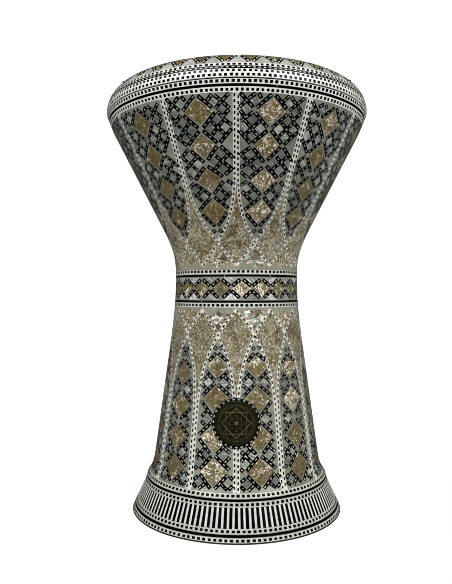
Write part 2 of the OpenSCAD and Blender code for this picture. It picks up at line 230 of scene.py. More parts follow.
@lru_cache(None)
def plate_faces(columns, rows):
    """Edge loop and faces of a grid with a bevel ring, a wall ring and a bottom."""
    quads, rim = sheet_faces(columns, rows)
    size = len(rim)
    edge = (columns + 1) * (rows + 1)
    foot = edge + size
    faces = list(quads)
    faces += [(edge + i, edge + (i + 1) % size, rim[(i + 1) % size], rim[i]) for i in range(size)]
    faces += [(foot + i, foot + (i + 1) % size, edge + (i + 1) % size, edge + i)
              for i in range(size)]
    faces.append(tuple(foot + i for i in range(size - 1, -1, -1)))
    return np.array(rim), faces


def sample(surface, bearing, level, distance, stops):
    """Bearing, level and tangent of a path at given distances along it."""
    reach = 0.35  # the tangent is taken over this far each way
    at_bearing = np.interp(stops, distance, bearing)
    at_level = np.interp(stops, distance, level)
    ahead = np.minimum(stops + reach, distance[-1])
    behind = np.maximum(stops - reach, distance[0])
    across = surface.arc(np.interp(ahead, distance, bearing) - np.interp(behind, distance, bearing),
                         at_level)
    up = (surface.along(np.interp(ahead, distance, level))
          - surface.along(np.interp(behind, distance, level)))
    length = np.hypot(across, up) + 1e-12
    return at_bearing, at_level, across / length, up / length, stops


def path(surface, bearings, levels, step):
    """Evenly spaced points on a path: bearing, level, tangent across and up, distance."""
    legs = len(bearings) - 1
    fine = max(2, 240 // max(1, legs))
    t = np.linspace(0, legs, fine * legs + 1)
    bearing = np.interp(t, range(legs + 1), bearings)
    level = np.interp(t, range(legs + 1), levels)
    across = surface.arc(np.diff(bearing), (level[1:] + level[:-1]) / 2)
    up = np.diff(surface.along(level))
    distance = np.concatenate([[0], np.cumsum(np.hypot(across, up))])
    count = max(1, int(round(distance[-1] / step)))
    return sample(surface, bearing, level, distance, np.linspace(0, distance[-1], count + 1))


def diamond(bearing, half_turn, low, middle, high):
    """Four (bearing, level) corners of an upright diamond."""
    return [(bearing, low), (bearing + half_turn, middle), (bearing, high),
            (bearing - half_turn, middle)]


class Inlay:
    """Closed pieces set in one surface and gathered into one mesh.

    Attribute loc is each point's place within its piece, with its distance off the surface;
    rnd is three numbers that vary the piece's look.
    """

    def __init__(self, surface):
        self.surface = surface
        self.points, self.loc, self.rnd, self.faces, self.slots = [], [], [], [], []
        self.count = 0

    def add(self, bearing, level, off, x, y, faces, mat, rnd=None):
        rnd = rng.rand(3) if rnd is None else rnd
        bearing, level, off = np.broadcast_arrays(
            np.asarray(bearing, float), np.asarray(level, float), np.asarray(off, float))
        self.points.append(self.surface.point(bearing, level, off))
        self.loc.append(np.stack([x + 0 * bearing, y + 0 * bearing, off], -1))
        self.rnd.append(np.tile(rnd, (len(bearing), 1)))
        self.faces.extend([tuple(i + self.count for i in face) for face in faces])
        self.slots.extend([mat] * len(faces))
        self.count += len(bearing)

    def make(self, name, materials, slot, node=None, sharp=28):
        """Make the object. It replaces the CAD node of its name, another one, or none ("")."""
        verts = np.concatenate(self.points) * MM
        obj = mesh_object("inlay_" + name, verts.tolist(), self.faces, materials)
        for key, data in (("loc", self.loc), ("rnd", self.rnd)):
            attribute = obj.data.attributes.new(key, "FLOAT_VECTOR", "POINT")
            attribute.data.foreach_set("vector", np.concatenate(data).astype(np.float32).ravel())
        obj.data.polygons.foreach_set("material_index", np.array(self.slots, np.int32))
        smooth_shade(obj.data, sharp)
        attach(obj, self.surface.part)
        node = name if node is None else node
        if node:
            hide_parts(node)
        return obj

    def tile(self, corners, top, bottom, mat, columns=1, rows=1, bevel=0.1, rnd=None, crown=0.0):
        """A bevelled plate between four (bearing, level) corners. crown lifts its middle."""
        surface = self.surface
        corners = np.asarray(corners, float)
        centre = corners[:, 0].mean()
        flat = np.stack([surface.arc(corners[:, 0] - centre, corners[:, 1]),
                         surface.along(corners[:, 1])], 1)
        x, y = flat.T
        if (x * np.roll(y, -1) - np.roll(x, -1) * y).sum() < 0:
            flat = flat[::-1]  # keep the corners anticlockwise
        u, w = np.meshgrid(np.linspace(0, 1, columns + 1), np.linspace(0, 1, rows + 1))
        u, w = u.ravel(), w.ravel()
        rim, faces = plate_faces(columns, rows)
        edge = bilinear(flat, u[rim], w[rim])
        spots = np.concatenate([bilinear(inset(flat, bevel), u, w), edge, edge])
        off = np.concatenate([top + crown * (4 * u * (1 - u) * 4 * w * (1 - w)),
                              np.full(len(rim), top - bevel), np.full(len(rim), bottom)])
        level = surface.level_at(spots[:, 1])
        x, y = (spots - flat.mean(0)).T
        self.add(surface.turn(spots[:, 0], level) + centre, level, off, x, y, faces, mat, rnd)

    def sheet(self, levels, left, right, columns, top, centre, rnd=None):
        """A sheet spanned row by row between two edges of bearings."""
        quads, rim = sheet_faces(columns, len(levels) - 1)
        share = np.linspace(0, 1, columns + 1)
        bearing = (left[:, None] + (right - left)[:, None] * share).ravel()
        level = np.repeat(levels, columns + 1)
        count, size = len(level), len(rim)
        faces = quads + [tuple(i + count for i in quad[::-1]) for quad in quads]
        faces += [(rim[i] + count, rim[(i + 1) % size] + count, rim[(i + 1) % size], rim[i])
                  for i in range(size)]
        x = self.surface.arc(bearing - centre, level)
        y = self.surface.along(level) - self.surface.along(levels.mean())
        self.add(np.tile(bearing, 2), np.tile(level, 2), np.repeat([top, BACK], count),
                 np.tile(x, 2), np.tile(y, 2), faces, 0, rnd)

    def band(self, low, high, top=FLUSH, bottom=BACK, mat=0, segments=288, rows=None):
        """A ring round the drum between two levels."""
        surface, bevel = self.surface, 0.12
        start, end = surface.along(low), surface.along(high)
        if rows is None:
            rows = max(1, int(round((end - start) / 2.5)))
        flat = np.linspace(start + bevel, end - bevel, rows + 1)
        distance = np.concatenate([[start, start], flat, [end, end]])
        off = np.concatenate([[bottom, top - bevel], np.full(rows + 1, top), [top - bevel, bottom]])
        size = len(distance)
        bearing = np.repeat(np.linspace(0, 360, segments, endpoint=False), size)
        distance = np.tile(distance, segments)
        level = surface.level_at(distance)
        faces = []
        for j in range(segments):
            here, ahead = j * size, ((j + 1) % segments) * size
            faces += [(here + i, ahead + i, ahead + (i + 1) % size, here + (i + 1) % size)
                      for i in range(size)]
        self.add(bearing, level, np.tile(off, segments), surface.arc(bearing, level), distance,
                 faces, mat)

    def ribbon(self, bearings, levels, width, top, bottom, bevel=0.12, step=2.0, closed=False,
               dome=0.0):
        """A strip along a path. width may be a function of the level. dome rounds its top."""
        surface = self.surface
        bearing, level, across, up, distance = path(surface, bearings, levels, step)
        if closed:
            bearing, level, across, up, distance = (
                values[:-1] for values in (bearing, level, across, up, distance))
        if dome:
            t = np.linspace(0, 1, 7)
            share = np.concatenate([[-0.5], t - 0.5, [0.5]])
            shift = np.zeros(9)
            arch = top - dome + dome * np.sqrt(np.maximum(0, 1 - (2 * t - 1) ** 2))
            off = np.concatenate([[bottom], arch, [bottom]])
        else:
            share = np.array([-0.5, -0.5, -0.5, 0.5, 0.5, 0.5])
            shift = np.array([0, 0, bevel, -bevel, 0, 0])
            off = np.array([bottom, top - bevel, top, top, top - bevel, bottom])
        size, count = len(share), len(bearing)
        wide = width(level) if callable(width) else np.full(count, float(width))
        # offsets to the right of the direction of travel
        right = wide[:, None] * share + shift
        levels_out = surface.level_at(surface.along(level)[:, None] - across[:, None] * right)
        bearings_out = bearing[:, None] + surface.turn(up[:, None] * right, levels_out)
        faces = []
        for j in range(count if closed else count - 1):
            here, ahead = j * size, ((j + 1) % count) * size
            faces += [(here + i, here + (i + 1) % size, ahead + (i + 1) % size, ahead + i)
                      for i in range(size)]
        if not closed:
            faces += [tuple(range(size - 1, -1, -1)),
                      tuple((count - 1) * size + i for i in range(size))]
        self.add(bearings_out.ravel(), levels_out.ravel(), np.tile(off, count),
                 np.repeat(distance, size), right.ravel(), faces, 0)

    def dashes(self, bearings, levels, pitch, length, width, top, mat=1, phase=None, skip=(),
               bottom=MARK_BACK, closed=False, bevel=0.06, margin=0.8):
        """Small plates along a path, from phase on or else centred.

        skip holds (bearing, level, radius) spots left free.
        """
        surface = self.surface
        bearing, level, _, _, distance = path(surface, bearings, levels, 0.8)
        total = distance[-1]
        if closed:
            count = max(1, int(round(total / pitch)))
            stops = (np.arange(count) + 0.5) * total / count
        elif phase is None:
            room = total - length - 2 * margin
            count = max(1, int(room / pitch + 1.35))
            gap = min(pitch, room / max(1, count - 1))
            stops = total / 2 + (np.arange(count) - (count - 1) / 2) * gap
        else:
            stops = phase + np.arange(max(1, int((total - 0.3) / pitch) + 1)) * pitch
            end = length / 2 + margin
            stops = stops[(stops > end) & (stops < total - length / 2 - margin)]
        stops = stops + rng.uniform(-0.08, 0.08, len(stops))
        for here, height, across, up, _ in zip(*sample(surface, bearing, level, distance, stops)):
            if any(math.hypot(surface.arc(here - spot, height),
                              surface.along(height) - surface.along(spot_level)) < radius
                   for spot, spot_level, radius in skip):
                continue
            ahead = np.array([across, up]) * (length / 2 * rng.uniform(0.93, 1.07))
            right = np.array([up, -across]) * (width / 2 * rng.uniform(0.93, 1.07))
            centre = np.array([0.0, surface.along(height)])
            flat = np.array([centre - ahead + right, centre + ahead + right,
                             centre + ahead - right, centre - ahead - right])
            corner_levels = surface.level_at(flat[:, 1])
            corners = np.stack([here + surface.turn(flat[:, 0], corner_levels), corner_levels], 1)
            self.tile(corners, top, bottom, mat, bevel=bevel)

    def dots(self, level, count, wide, tall, start):
        """A row of small, slightly uneven plates round the drum."""
        surface = self.surface
        distance = surface.along(level)
        for i in range(count):
            bearing = start + (i + rng.uniform(-0.04, 0.04)) * 360 / count
            half_wide = wide / 2 * rng.uniform(0.93, 1.07)
            half_tall = tall / 2 * rng.uniform(0.93, 1.07)
            y = distance + rng.uniform(-0.06, 0.06)
            slant = rng.uniform(-0.12, 0.12)
            levels = surface.level_at(
                np.array([y - half_tall, y - half_tall, y + half_tall, y + half_tall]))
            x = np.array([-half_wide - slant, half_wide - slant,
                          half_wide + slant, -half_wide + slant])
            # a plate on a strongly curved bead follows the curve
            chord = (float(surface.radius_at(levels[0])) + float(surface.radius_at(levels[2]))) / 2
            curved = abs(float(surface.radius_at(surface.level_at(y))) - chord) > 0.01
            self.tile(np.stack([bearing + surface.turn(x, levels), levels], 1), DOT, MARK_BACK, 1,
                      columns=2 if curved else 1, rows=4 if curved else 1, bevel=0.08)


# ------------------------------------------------------------------ shader building
def srgb(color):
    """A 0 to 255 colour as linear RGBA."""
    c = np.array(color, float) / 255
    linear = np.where(c <= 0.04045, c / 12.92, ((c + 0.055) / 1.055) ** 2.4)
    return tuple(float(x) for x in linear) + (1.0,)


class Value:
    """A shader output that can be added, subtracted and multiplied."""

    def __init__(self, mat, socket):
        self.mat, self.socket = mat, socket
        self.is_vector = socket.type != "VALUE"

    def __add__(self, other):
        return (self.mat.vmath if self.is_vector else self.mat.math)("ADD", self, other)

    def __sub__(self, other):
        return self.mat.math("SUBTRACT", self, other)

    def __rsub__(self, other):
        return self.mat.math("SUBTRACT", other, self)

    def __mul__(self, other):
        if not self.is_vector:
            return self.mat.math("MULTIPLY", self, other)
        if isinstance(other, tuple):
            return self.mat.vmath("MULTIPLY", self, other)
        return self.mat.value("VectorMath", {0: self, "Scale": other}, operation="SCALE")

    def swing(self, width):
        """A 0 to 1 value spread over width, centred on zero."""
        return (self - 0.5) * width


class Material:
    def __init__(self, name):
        self.material = bpy.data.materials.new(name)
        self.material.use_nodes = True
        self.tree = self.material.node_tree
        self.tree.nodes.clear()
        self.output = self.tree.nodes.new("ShaderNodeOutputMaterial")
        self.shader = self.tree.nodes.new("ShaderNodeBsdfPrincipled")
        self.tree.links.new(self.shader.outputs[0], self.output.inputs[0])

    def feed(self, socket, value):
        if isinstance(value, Value):
            self.tree.links.new(value.socket, socket)
        elif value is not None:
            socket.default_value = value

    def value(self, kind, inputs=(), out=0, **props):
        """One output of a new node."""
        node = self.tree.nodes.new("ShaderNode" + kind)
        for key, prop in props.items():
            setattr(node, key, prop)
        for key, given in dict(inputs).items():
            self.feed(node.inputs[key], given)
        return Value(self, node.outputs[out])

    def surface(self, **inputs):
        """Set inputs of the main shader."""
        for key, given in inputs.items():
            self.feed(self.shader.inputs[key.replace("_", " ")], given)

    def attr(self, name):
        return self.value("Attribute", out="Vector", attribute_name=name)

    def pos(self):
        """Object position in mm."""
        return self.value("TexCoord", out="Object") * 1000.0

    def xyz(self, vector):
        x = self.value("SeparateXYZ", {0: vector})
        return [Value(self, socket) for socket in x.socket.node.outputs]

    def numbers(self, vector):
        """The three numbers of a plate."""
        return [self.xyz(vector)[i] for i in range(3)]

    def math(self, operation, a, b=None, clamp=False):
        return self.value("Math", {0: a, 1: b}, operation=operation, use_clamp=clamp)

    def vmath(self, operation, a, b=None, out=0):
        return self.value("VectorMath", {0: a, 1: b}, out=out, operation=operation)

    def length(self, vector):
        return self.vmath("LENGTH", vector, out="Value")

    def noise(self, vector, scale, detail=3.0, rough=0.5, out=0):
        inputs = {"Vector": vector, "Scale": scale, "Detail": detail, "Roughness": rough}
        return self.value("TexNoise", inputs, out=out)

    def warp(self, vector, reach, **noise):
        """The vector pushed about by coloured noise."""
        return vector + self.noise(vector, out=1, **noise) * reach

    def cells(self, vector, scale, out="Color", feature="F1"):
        return self.value("TexVoronoi", {"Vector": vector, "Scale": scale, "Randomness": 1.0},
                          out=out, feature=feature)

    def ramp(self, value, stops, mode="LINEAR"):
        color = self.value("ValToRGB", {0: value})
        ramp = color.socket.node.color_ramp
        ramp.interpolation = mode
        while len(ramp.elements) < len(stops):
            ramp.elements.new(0.5)
        for element, (place, c) in zip(ramp.elements, stops):
            element.position = place
            element.color = c if len(c) == 4 else srgb(c)
        return color

    def mix(self, base, other, amount, mode="MIX"):
        return self.value("Mix", {0: amount, 6: base, 7: other}, out=2,
                          data_type="RGBA", blend_type=mode)

    def multiply(self, base, other):
        return self.mix(base, other, amount=1.0, mode="MULTIPLY")

    def step(self, value, low, high):
        """A smooth rise from 0 at low to 1 at high."""
        return self.value("MapRange", {0: value, 1: low, 2: high, 3: 0.0, 4: 1.0},
                          interpolation_type="SMOOTHSTEP")

    def crease(self, value, core, edge):
        """1 where a value is within core of 0.5, falling to 0 at edge."""
        return 1.0 - self.step(self.math("ABSOLUTE", value - 0.5), low=core, high=edge)

    def bump(self, height, strength, depth):
        """A bumped normal, its depth in metres."""
        return self.value("Bump", {"Strength": strength, "Distance": depth, "Height": height})

    def lacquer(self, color, rough=0.4, spec=0.4, coat=0.8, coat_rough=0.06, normal=None):
        """Finish the material under a faintly wavy clear coat."""
        self.surface(Base_Color=color, Roughness=rough, Specular_IOR_Level=spec, Coat_Weight=coat,
                     Coat_Roughness=coat_rough, Coat_IOR=1.45, Normal=normal)
        waves = self.noise(self.pos(), scale=0.12, detail=2.0)
        self.surface(Coat_Normal=self.bump(waves, strength=0.25, depth=0.00015))
        return self.material


# ------------------------------------------------------------------ inlay materials
def pearl(name, dark, mid, light, contrast, tint):
    """Mother-of-pearl: fine slanted streaks, turned and shaded plate by plate."""
    m = Material(name)
    loc, rnd = m.attr("loc"), m.attr("rnd")
    rx, ry, rz = m.numbers(rnd)
    turned = m.value("VectorRotate", {"Vector": loc, "Angle": rx.swing(1.1) + 0.55},
                     rotation_type="Z_AXIS")
    # drawn out along the streaks and shifted to a fresh place for each plate
    grain = turned * (0.13, 1.0, 0.0) + rnd * 91.0
    grain = grain + m.noise(m.pos() * 0.06, scale=1.0, detail=2.0, out=1) * 1.6
    streaks = m.noise(grain, scale=1.0, rough=0.55)
    fine = m.noise(grain * (1.5, 3.0, 1.0), scale=1.0, detail=2.0)
    cloud = m.noise(m.pos() + rnd * 300.0, scale=0.09, detail=2.0)
    shade = streaks.swing(1.5 * contrast) + (
        ry.swing(0.35 * contrast) + (cloud.swing(0.7) + (fine.swing(0.5) + 0.5)))
    color = m.ramp(shade, [(0.08, dark), (0.5, mid), (0.92, light)])
    hue = m.ramp(m.math("FRACT", rz + cloud * 0.8),
                 [(0.0, (250, 255, 248)), (0.3, (240, 252, 255)), (0.6, (255, 246, 240)),
                  (1.0, (255, 253, 236))])
    color = m.mix(color, m.multiply(color, hue), amount=tint)
    # bright threads that follow the streaks on some plates
    threads = m.step(m.noise(grain * (0.7, 1.3, 1.0), scale=1.0, detail=1.0), low=0.60, high=0.74)
    threads = threads * m.step(rx, low=0.45, high=0.85)
    color = m.mix(color, srgb(np.minimum(255, np.array(light) * 1.2)),
                  amount=m.math("MULTIPLY", threads, 0.6 * contrast, clamp=True))
    return m.lacquer(color, rough=0.42, spec=0.35,
                     normal=m.bump(streaks, strength=0.12, depth=0.0001))


def shards(m, vector, scale, colors):
    """Flat chips, each in one colour of the list, and the chips' own numbers."""
    cell = m.xyz(m.cells(vector, scale))
    stops = [(i / len(colors), color) for i, color in enumerate(colors)]
    return m.ramp(cell[0], stops, "CONSTANT"), cell


def shell_plate(name, gain=1.0, run=(1.0, 1.0, 1.0), shade=(1.0, 1.0, 1.0), dark=0.5, ring=False):
    """Crushed abalone: tan and olive grains, dark seams, bright veins and glints.

    gain strengthens the glints, run stretches the grain and dark sets the seams.
    """
    m = Material(name)
    if ring:
        # number the clamping ring's plates by their bearing
        x, y, _ = m.xyz(m.pos())
        turn = m.math("ARCTAN2", x, y * -1.0) * (RIM_PLATES / (2 * math.pi))
        index = m.math("FLOOR", turn + (0.5 - RIM_START * RIM_PLATES / 360))
        rnd = m.value("TexWhiteNoise", {"W": index}, out="Color", noise_dimensions="1D")
    else:
        rnd = m.attr("rnd")
    rx, ry, rz = m.numbers(rnd)
    # the sevenths of the first number carry the plate's hue: green, gold, tan or pink
    hue = m.math("FRACT", rx * 7.0)
    tint = m.ramp(hue, [(0.0, (240, 255, 228)), (0.3, (255, 246, 214)), (0.6, (255, 250, 240)),
                        (1.0, (255, 240, 240))])
    place = m.pos() + rnd * 200.0
    grain = place * run
    warped = m.warp(grain, reach=2.6, scale=0.4, rough=0.6)
    coarse, _ = shards(m, warped, 0.55, [
        (98, 89, 60), (144, 133, 102), (116, 107, 74), (160, 148, 118), (126, 121, 88),
        (106, 95, 64), (172, 162, 134), (132, 122, 88), (150, 141, 110)])
    small, _ = shards(m, warped + (31.0, 7.0, 3.0), 1.2, [
        (78, 70, 44), (136, 125, 94), (160, 148, 118), (112, 104, 74), (182, 171, 144),
        (138, 128, 96)])
    color = m.mix(coarse, small, amount=0.45)
    cloud = m.noise(warped, scale=0.30, detail=4.0, rough=0.65)
    color = m.multiply(color, m.ramp(cloud, [(0.3, (168, 162, 144)), (0.5, (230, 228, 218)),
                                             (0.68, (255, 255, 255))]))
    color = m.multiply(color, tint)
    drift = m.noise(place + (3.0, 50.0, 11.0), scale=0.16, rough=0.6)
    color = m.multiply(color, m.ramp(drift, [(0.36, (226, 242, 212)), (0.45, (244, 247, 238)),
                                             (0.55, (255, 247, 236)), (0.64, (252, 230, 218))]))
    seams = m.noise(warped + (5.0, 40.0, 9.0), scale=0.24, rough=0.6)
    color = m.mix(color, srgb((58, 50, 32)), amount=m.crease(seams, core=0.010, edge=0.036) * dark)
    color = m.multiply(color * (rz.swing(0.6) + 1.02), (*shade, 1.0))
    # veins and glints come in patches: many on some plates and none on others
    patches = m.step(m.noise(place, scale=0.15, detail=2.0) + ry.swing(0.32), low=0.53, high=0.60)
    swirl = m.warp(grain, reach=2.0, scale=0.25, detail=2.0)
    veins = m.crease(m.noise(swirl, scale=0.26, detail=1.5), core=0.022, edge=0.05) * patches
    spots = m.noise(swirl + (17.0, 3.0, 2.0), scale=0.36, detail=2.0) + ry.swing(0.16)
    glint = m.math("MAXIMUM", veins, m.step(spots, low=0.665, high=0.69))
    chip = m.xyz(m.cells(warped + (9.0, 2.0, 5.0), 0.28))[1]
    glint_color = m.ramp(m.math("FRACT", chip * 0.6 + (hue * 0.45 + 0.22)), [
        (0.0, (222, 228, 190)), (0.12, (255, 252, 230)), (0.28, (212, 202, 148)),
        (0.38, (255, 254, 242)), (0.58, (206, 190, 164)), (0.66, (255, 244, 222)),
        (0.78, (255, 253, 240)), (0.92, (234, 202, 192))], "CONSTANT")
    color = m.mix(color, glint_color,
                  amount=m.math("MULTIPLY", glint, 0.5 + 0.35 * gain, clamp=True))
    return m.lacquer(color, rough=0.38, normal=m.bump(cloud, strength=0.25, depth=0.0002))


def crushed(name, shade):
    """Fine crushed shell in resin."""
    m = Material(name)
    rnd = m.attr("rnd")
    rz = m.xyz(rnd)[2]
    place = m.pos() + rnd * 200.0
    warped = m.warp(place, reach=1.2, scale=0.6)
    cloud = m.noise(place, scale=0.085, detail=4.0, rough=0.65)
    coarse, _ = shards(m, warped * (1.0, 1.0, 0.9), 0.56, [
        (72, 65, 43), (148, 140, 114), (112, 104, 78), (174, 166, 142), (128, 124, 98),
        (194, 182, 162), (94, 86, 61), (150, 148, 120)])
    small, cell = shards(m, warped + (31.0, 7.0, 3.0), 1.0, [
        (66, 58, 36), (138, 128, 98), (174, 164, 138), (106, 96, 68), (212, 204, 180),
        (142, 132, 104)])
    color = m.mix(coarse, small, amount=0.42)
    color = m.multiply(color, m.ramp(cloud, [
        (0.37, (156, 134, 88)), (0.44, (206, 192, 148)), (0.51, (230, 228, 204)),
        (0.58, (240, 244, 232)), (0.66, (255, 250, 250))]))
    glints = m.step(m.noise(warped, scale=0.8, detail=2.0), low=0.60, high=0.65)
    glint_color = m.ramp(cell[1], [(0.0, (250, 248, 234)), (0.3, (206, 206, 178)),
                                   (0.5, (255, 254, 250)), (0.85, (236, 218, 210))], "CONSTANT")
    color = m.mix(color, glint_color, amount=glints * 0.9)
    pits = m.noise(warped + (3.0, 8.0, 4.0), scale=0.6, detail=2.0)
    color = m.mix(color, srgb((76, 66, 42)), amount=m.step(pits, low=0.555, high=0.61) * 0.6)
    color = color * (rz.swing(0.25) + 1.18) * shade
    return m.lacquer(color, rough=0.42, spec=0.35,
                     normal=m.bump(m.noise(warped, scale=0.8), strength=0.25, depth=0.0002))


def abalone(name):
    """Grey-green resin with a heap of broken abalone in the middle of each field."""
    m = Material(name)
    loc, rnd = m.attr("loc"), m.attr("rnd")
    rx, ry, rz = m.numbers(rnd)
    place = m.pos() + rnd * 200.0
    warped = m.warp(place, reach=9.0, scale=0.12, rough=0.6)
    ground = m.ramp(m.noise(place, scale=0.3, detail=4.0, rough=0.6),
                    [(0.3, (130, 128, 111)), (0.5, (145, 143, 126)), (0.7, (159, 157, 141))])
    # the heap: within about 10 mm of the middle, with a ragged edge
    x, y, _ = m.xyz(loc)
    distance = m.length(m.value("CombineXYZ", {0: x * 0.75, 1: y + rz * 4.0}))
    ragged = m.noise(place, scale=0.2, detail=4.0, rough=0.7).swing(16.0)
    heap = 1.0 - m.step(distance + ragged, low=10.0, high=11.0)
    flakes = warped * (1.0, 1.0, 1.9)
    cell = m.xyz(m.cells(flakes, 0.2))
    edge = m.cells(flakes, 0.2, out="Distance", feature="DISTANCE_TO_EDGE")
    cloud = m.noise(warped * (0.5, 0.5, 1.4), scale=0.6, rough=0.6)
    # dull heaps are fine brown and olive crumbs
    crumbs, crumb = shards(m, warped, 0.7, [
        (96, 84, 56), (160, 150, 118), (126, 116, 84), (190, 180, 152), (84, 72, 48),
        (148, 138, 106)])
    sparks = m.step(crumb[2], low=0.86, high=0.88)
    dull = m.mix(crumbs, srgb((246, 240, 222)), amount=sparks * 0.8)
    # shiny ones are broad silvery flakes with dark seams
    shiny = m.ramp(cell[0], [
        (0.0, (250, 249, 242)), (0.14, (140, 126, 96)), (0.26, (255, 255, 252)),
        (0.39, (176, 176, 156)), (0.52, (104, 90, 64)), (0.62, (206, 194, 170)),
        (0.74, (255, 254, 250)), (0.85, (166, 160, 140)), (0.95, (190, 224, 220))], "CONSTANT")
    shiny = m.multiply(shiny, m.ramp(cloud, [(0.36, (122, 116, 96)), (0.46, (216, 214, 204)),
                                             (0.56, (255, 255, 255))]))
    seams = 1.0 - m.step(edge, low=0.01, high=0.08)
    shiny = m.mix(shiny, srgb((66, 58, 40)), amount=seams * 0.8)
    shine = ry + m.noise(place, scale=0.15, detail=2.0).swing(1.6)
    fragments = m.mix(dull, shiny, amount=m.step(shine, low=0.42, high=0.5))
    chips = m.step(m.noise(warped, scale=0.6, detail=2.0), low=0.6, high=0.64)
    chip_color = m.ramp(cell[1], [(0.0, (120, 110, 80)), (0.5, (222, 216, 196)),
                                  (1.0, (166, 154, 126))])
    ground = m.mix(ground, chip_color, amount=chips * 0.5)
    color = m.mix(ground, fragments, amount=heap) * (rx.swing(0.12) + 1.0)
    return m.lacquer(color, normal=m.bump(cloud, strength=0.2, depth=0.0002))


def strip(name, color):
    """Pale inlay line: bone-coloured plastic with fine shade changes along it."""
    m = Material(name)
    place = m.pos()
    rnd = m.attr("rnd")
    cloud = m.noise(place, scale=0.22, detail=4.0, rough=0.55)
    fine = m.noise(place, scale=1.7, detail=2.0)
    base = m.ramp(cloud, [(0.3, np.array(color) * 0.90), (0.5, color),
                          (0.72, np.minimum(255, np.array(color) * 1.05))])
    base = m.multiply(base, m.ramp(fine, [(0.3, (236, 235, 230)), (0.6, (255, 255, 255))]))
    return m.lacquer(base * (m.xyz(rnd)[1].swing(0.10) + 1.0),
                     normal=m.bump(fine, strength=0.08, depth=0.0001))


def black(name, coat):
    m = Material(name)
    cloud = m.noise(m.pos(), scale=0.4, rough=0.6)
    color = m.ramp(cloud, [(0.3, (1.2, 1.2, 1.2)), (0.7, (3.0, 3.0, 3.0))])
    return m.lacquer(color, spec=0.05, coat=coat, coat_rough=0.07)


GREY_PEARL = pearl("grey_pearl", (106, 108, 98), (134, 136, 124), (161, 163, 150),
                   contrast=0.8, tint=0.3)
BOWL_SQUARE = pearl("blue_grey_pearl", (82, 89, 84), (118, 124, 117), (192, 196, 188),
                    contrast=1.3, tint=0.7)
STEM_SQUARE = pearl("stem_blue_grey_pearl", (86, 93, 89), (125, 131, 125), (212, 216, 208),
                    contrast=1.3, tint=0.7)
WAIST_PEARL = pearl("streaked_pearl", (106, 112, 108), (166, 171, 165), (242, 243, 238),
                    contrast=1.7, tint=0.4)
RIM_PEARL = pearl("white_pearl", (156, 157, 148), (190, 190, 181), (222, 222, 214),
                  contrast=0.8, tint=0.4)
BOWL_SHELL = shell_plate("shell_plate", shade=(0.98, 1.0, 1.08))
RIM_SHELL = shell_plate("rim_shell_plate", shade=(0.93, 0.93, 0.9), ring=True)
STEM_SHELL = shell_plate("stem_shell_plate", shade=(0.88, 0.9, 0.98))
WAIST_SHELL = shell_plate("waist_shell_plate", gain=1.4, run=(1.7, 1.7, 0.75),
                          shade=(1.06, 1.14, 1.34), dark=0.95)
BOWL_CRUSHED = crushed("crushed_shell", shade=(1.14, 1.18, 1.34))
STEM_CRUSHED = crushed("stem_crushed_shell", shade=(0.9, 0.93, 0.97))
ABALONE = abalone("abalone_fragments")
CREAM = strip("cream_inlay", (212, 213, 204))
FOOT = strip("foot_inlay", (206, 206, 195))
RIB = strip("rib_inlay", (224, 225, 216))
WHITE = strip("white_inlay", (250, 250, 243))
FLUTE = strip("flute_inlay", (222, 222, 217))
STEM_DASH = strip("chain_dash_inlay", (206, 208, 201))
BOWL_DASH = strip("bowl_chain_dash_inlay", (176, 179, 175))
BLACK = black("black_inlay", coat=0.1)
RIM_BLACK = black("rim_black_inlay", coat=0.35)


# ------------------------------------------------------------------ body materials
def paint():
    """Satin black over a casting's fine unevenness."""
    m = Material("black_paint")
    place = m.pos()
    grain = m.noise(place, scale=0.55, detail=4.0, rough=0.6)
    cloud = m.noise(place, scale=0.05, rough=0.55)
    m.surface(Base_Color=m.ramp(cloud, [(0.3, (14, 14, 15)), (0.7, (24, 24, 25))]),
              Roughness=cloud * 0.2 + 0.32, Specular_IOR_Level=0.4,
              Normal=m.bump(grain, strength=0.35, depth=0.0003))
    return m.material


def bronze():
    """Dark antique bronze: recesses nearly black, raised work lighter, partly rubbed bronze and
    partly a painted highlight.
    """
    m = Material("antique_bronze")
    x, y, height = m.xyz(m.attr("loc"))
    place = m.pos()
    grain = m.noise(place, scale=0.5, detail=4.0, rough=0.6)
    radius = m.math("SQRT", x * x + y * y)
    # raised work lighter with its height: partly rubbed bronze, partly a painted highlight on the
    # relief
    rubbed_and_painted_highlight = (m.step(height + grain.swing(0.2), low=0.40, high=0.72)
              * (1.0 - m.step(radius, low=18.4, high=19.0)))
    base = m.ramp(m.noise(place, scale=0.12), [(0.3, (28, 29, 5)), (0.7, (44, 44, 7))])
    m.surface(Base_Color=m.mix(base, srgb((150, 141, 104)), amount=rubbed_and_painted_highlight * 0.8), Metallic=0.7,
              Roughness=grain * 0.2 + 0.34, Normal=m.bump(grain, strength=0.2, depth=0.0002))
    return m.material


def film_material():
    """Milky drum film with a faint mottled haze and rubbed middle."""
    m = Material("drum_film")
    place = m.pos()
    x, y, _ = m.xyz(place)
    radius = m.length(m.value("CombineXYZ", {0: x, 1: y}))
    cloud = m.noise(place, scale=0.05, detail=4.0, rough=0.6)
    fine = m.noise(place, scale=1.2, rough=0.6)
    color = m.ramp(cloud * 0.5 + m.step(radius, low=10.0, high=107.0) * 0.5,
                   [(0.15, (206, 206, 200)), (0.5, (224, 224, 219)), (0.9, (234, 234, 230))])
    m.surface(Base_Color=color, Roughness=fine * 0.15 + 0.3, Specular_IOR_Level=0.5,
              Normal=m.bump(fine, strength=0.08, depth=0.0001),
              Subsurface_Weight=0.15, Subsurface_Scale=0.004)
    return m.material


def metal(name, dark, light, rough):
    m = Material(name)
    place = m.pos()
    brushed = m.noise(place * (0.05, 0.05, 2.0), scale=1.0, rough=0.6)
    cloud = m.noise(place, scale=0.09)
    m.surface(Base_Color=m.ramp(brushed * 0.6 + cloud * 0.4, [(0.3, dark), (0.7, light)]),
              Metallic=1.0, Roughness=brushed * 0.2 + rough,
              Normal=m.bump(brushed, strength=0.12, depth=0.0001))
    return m.material


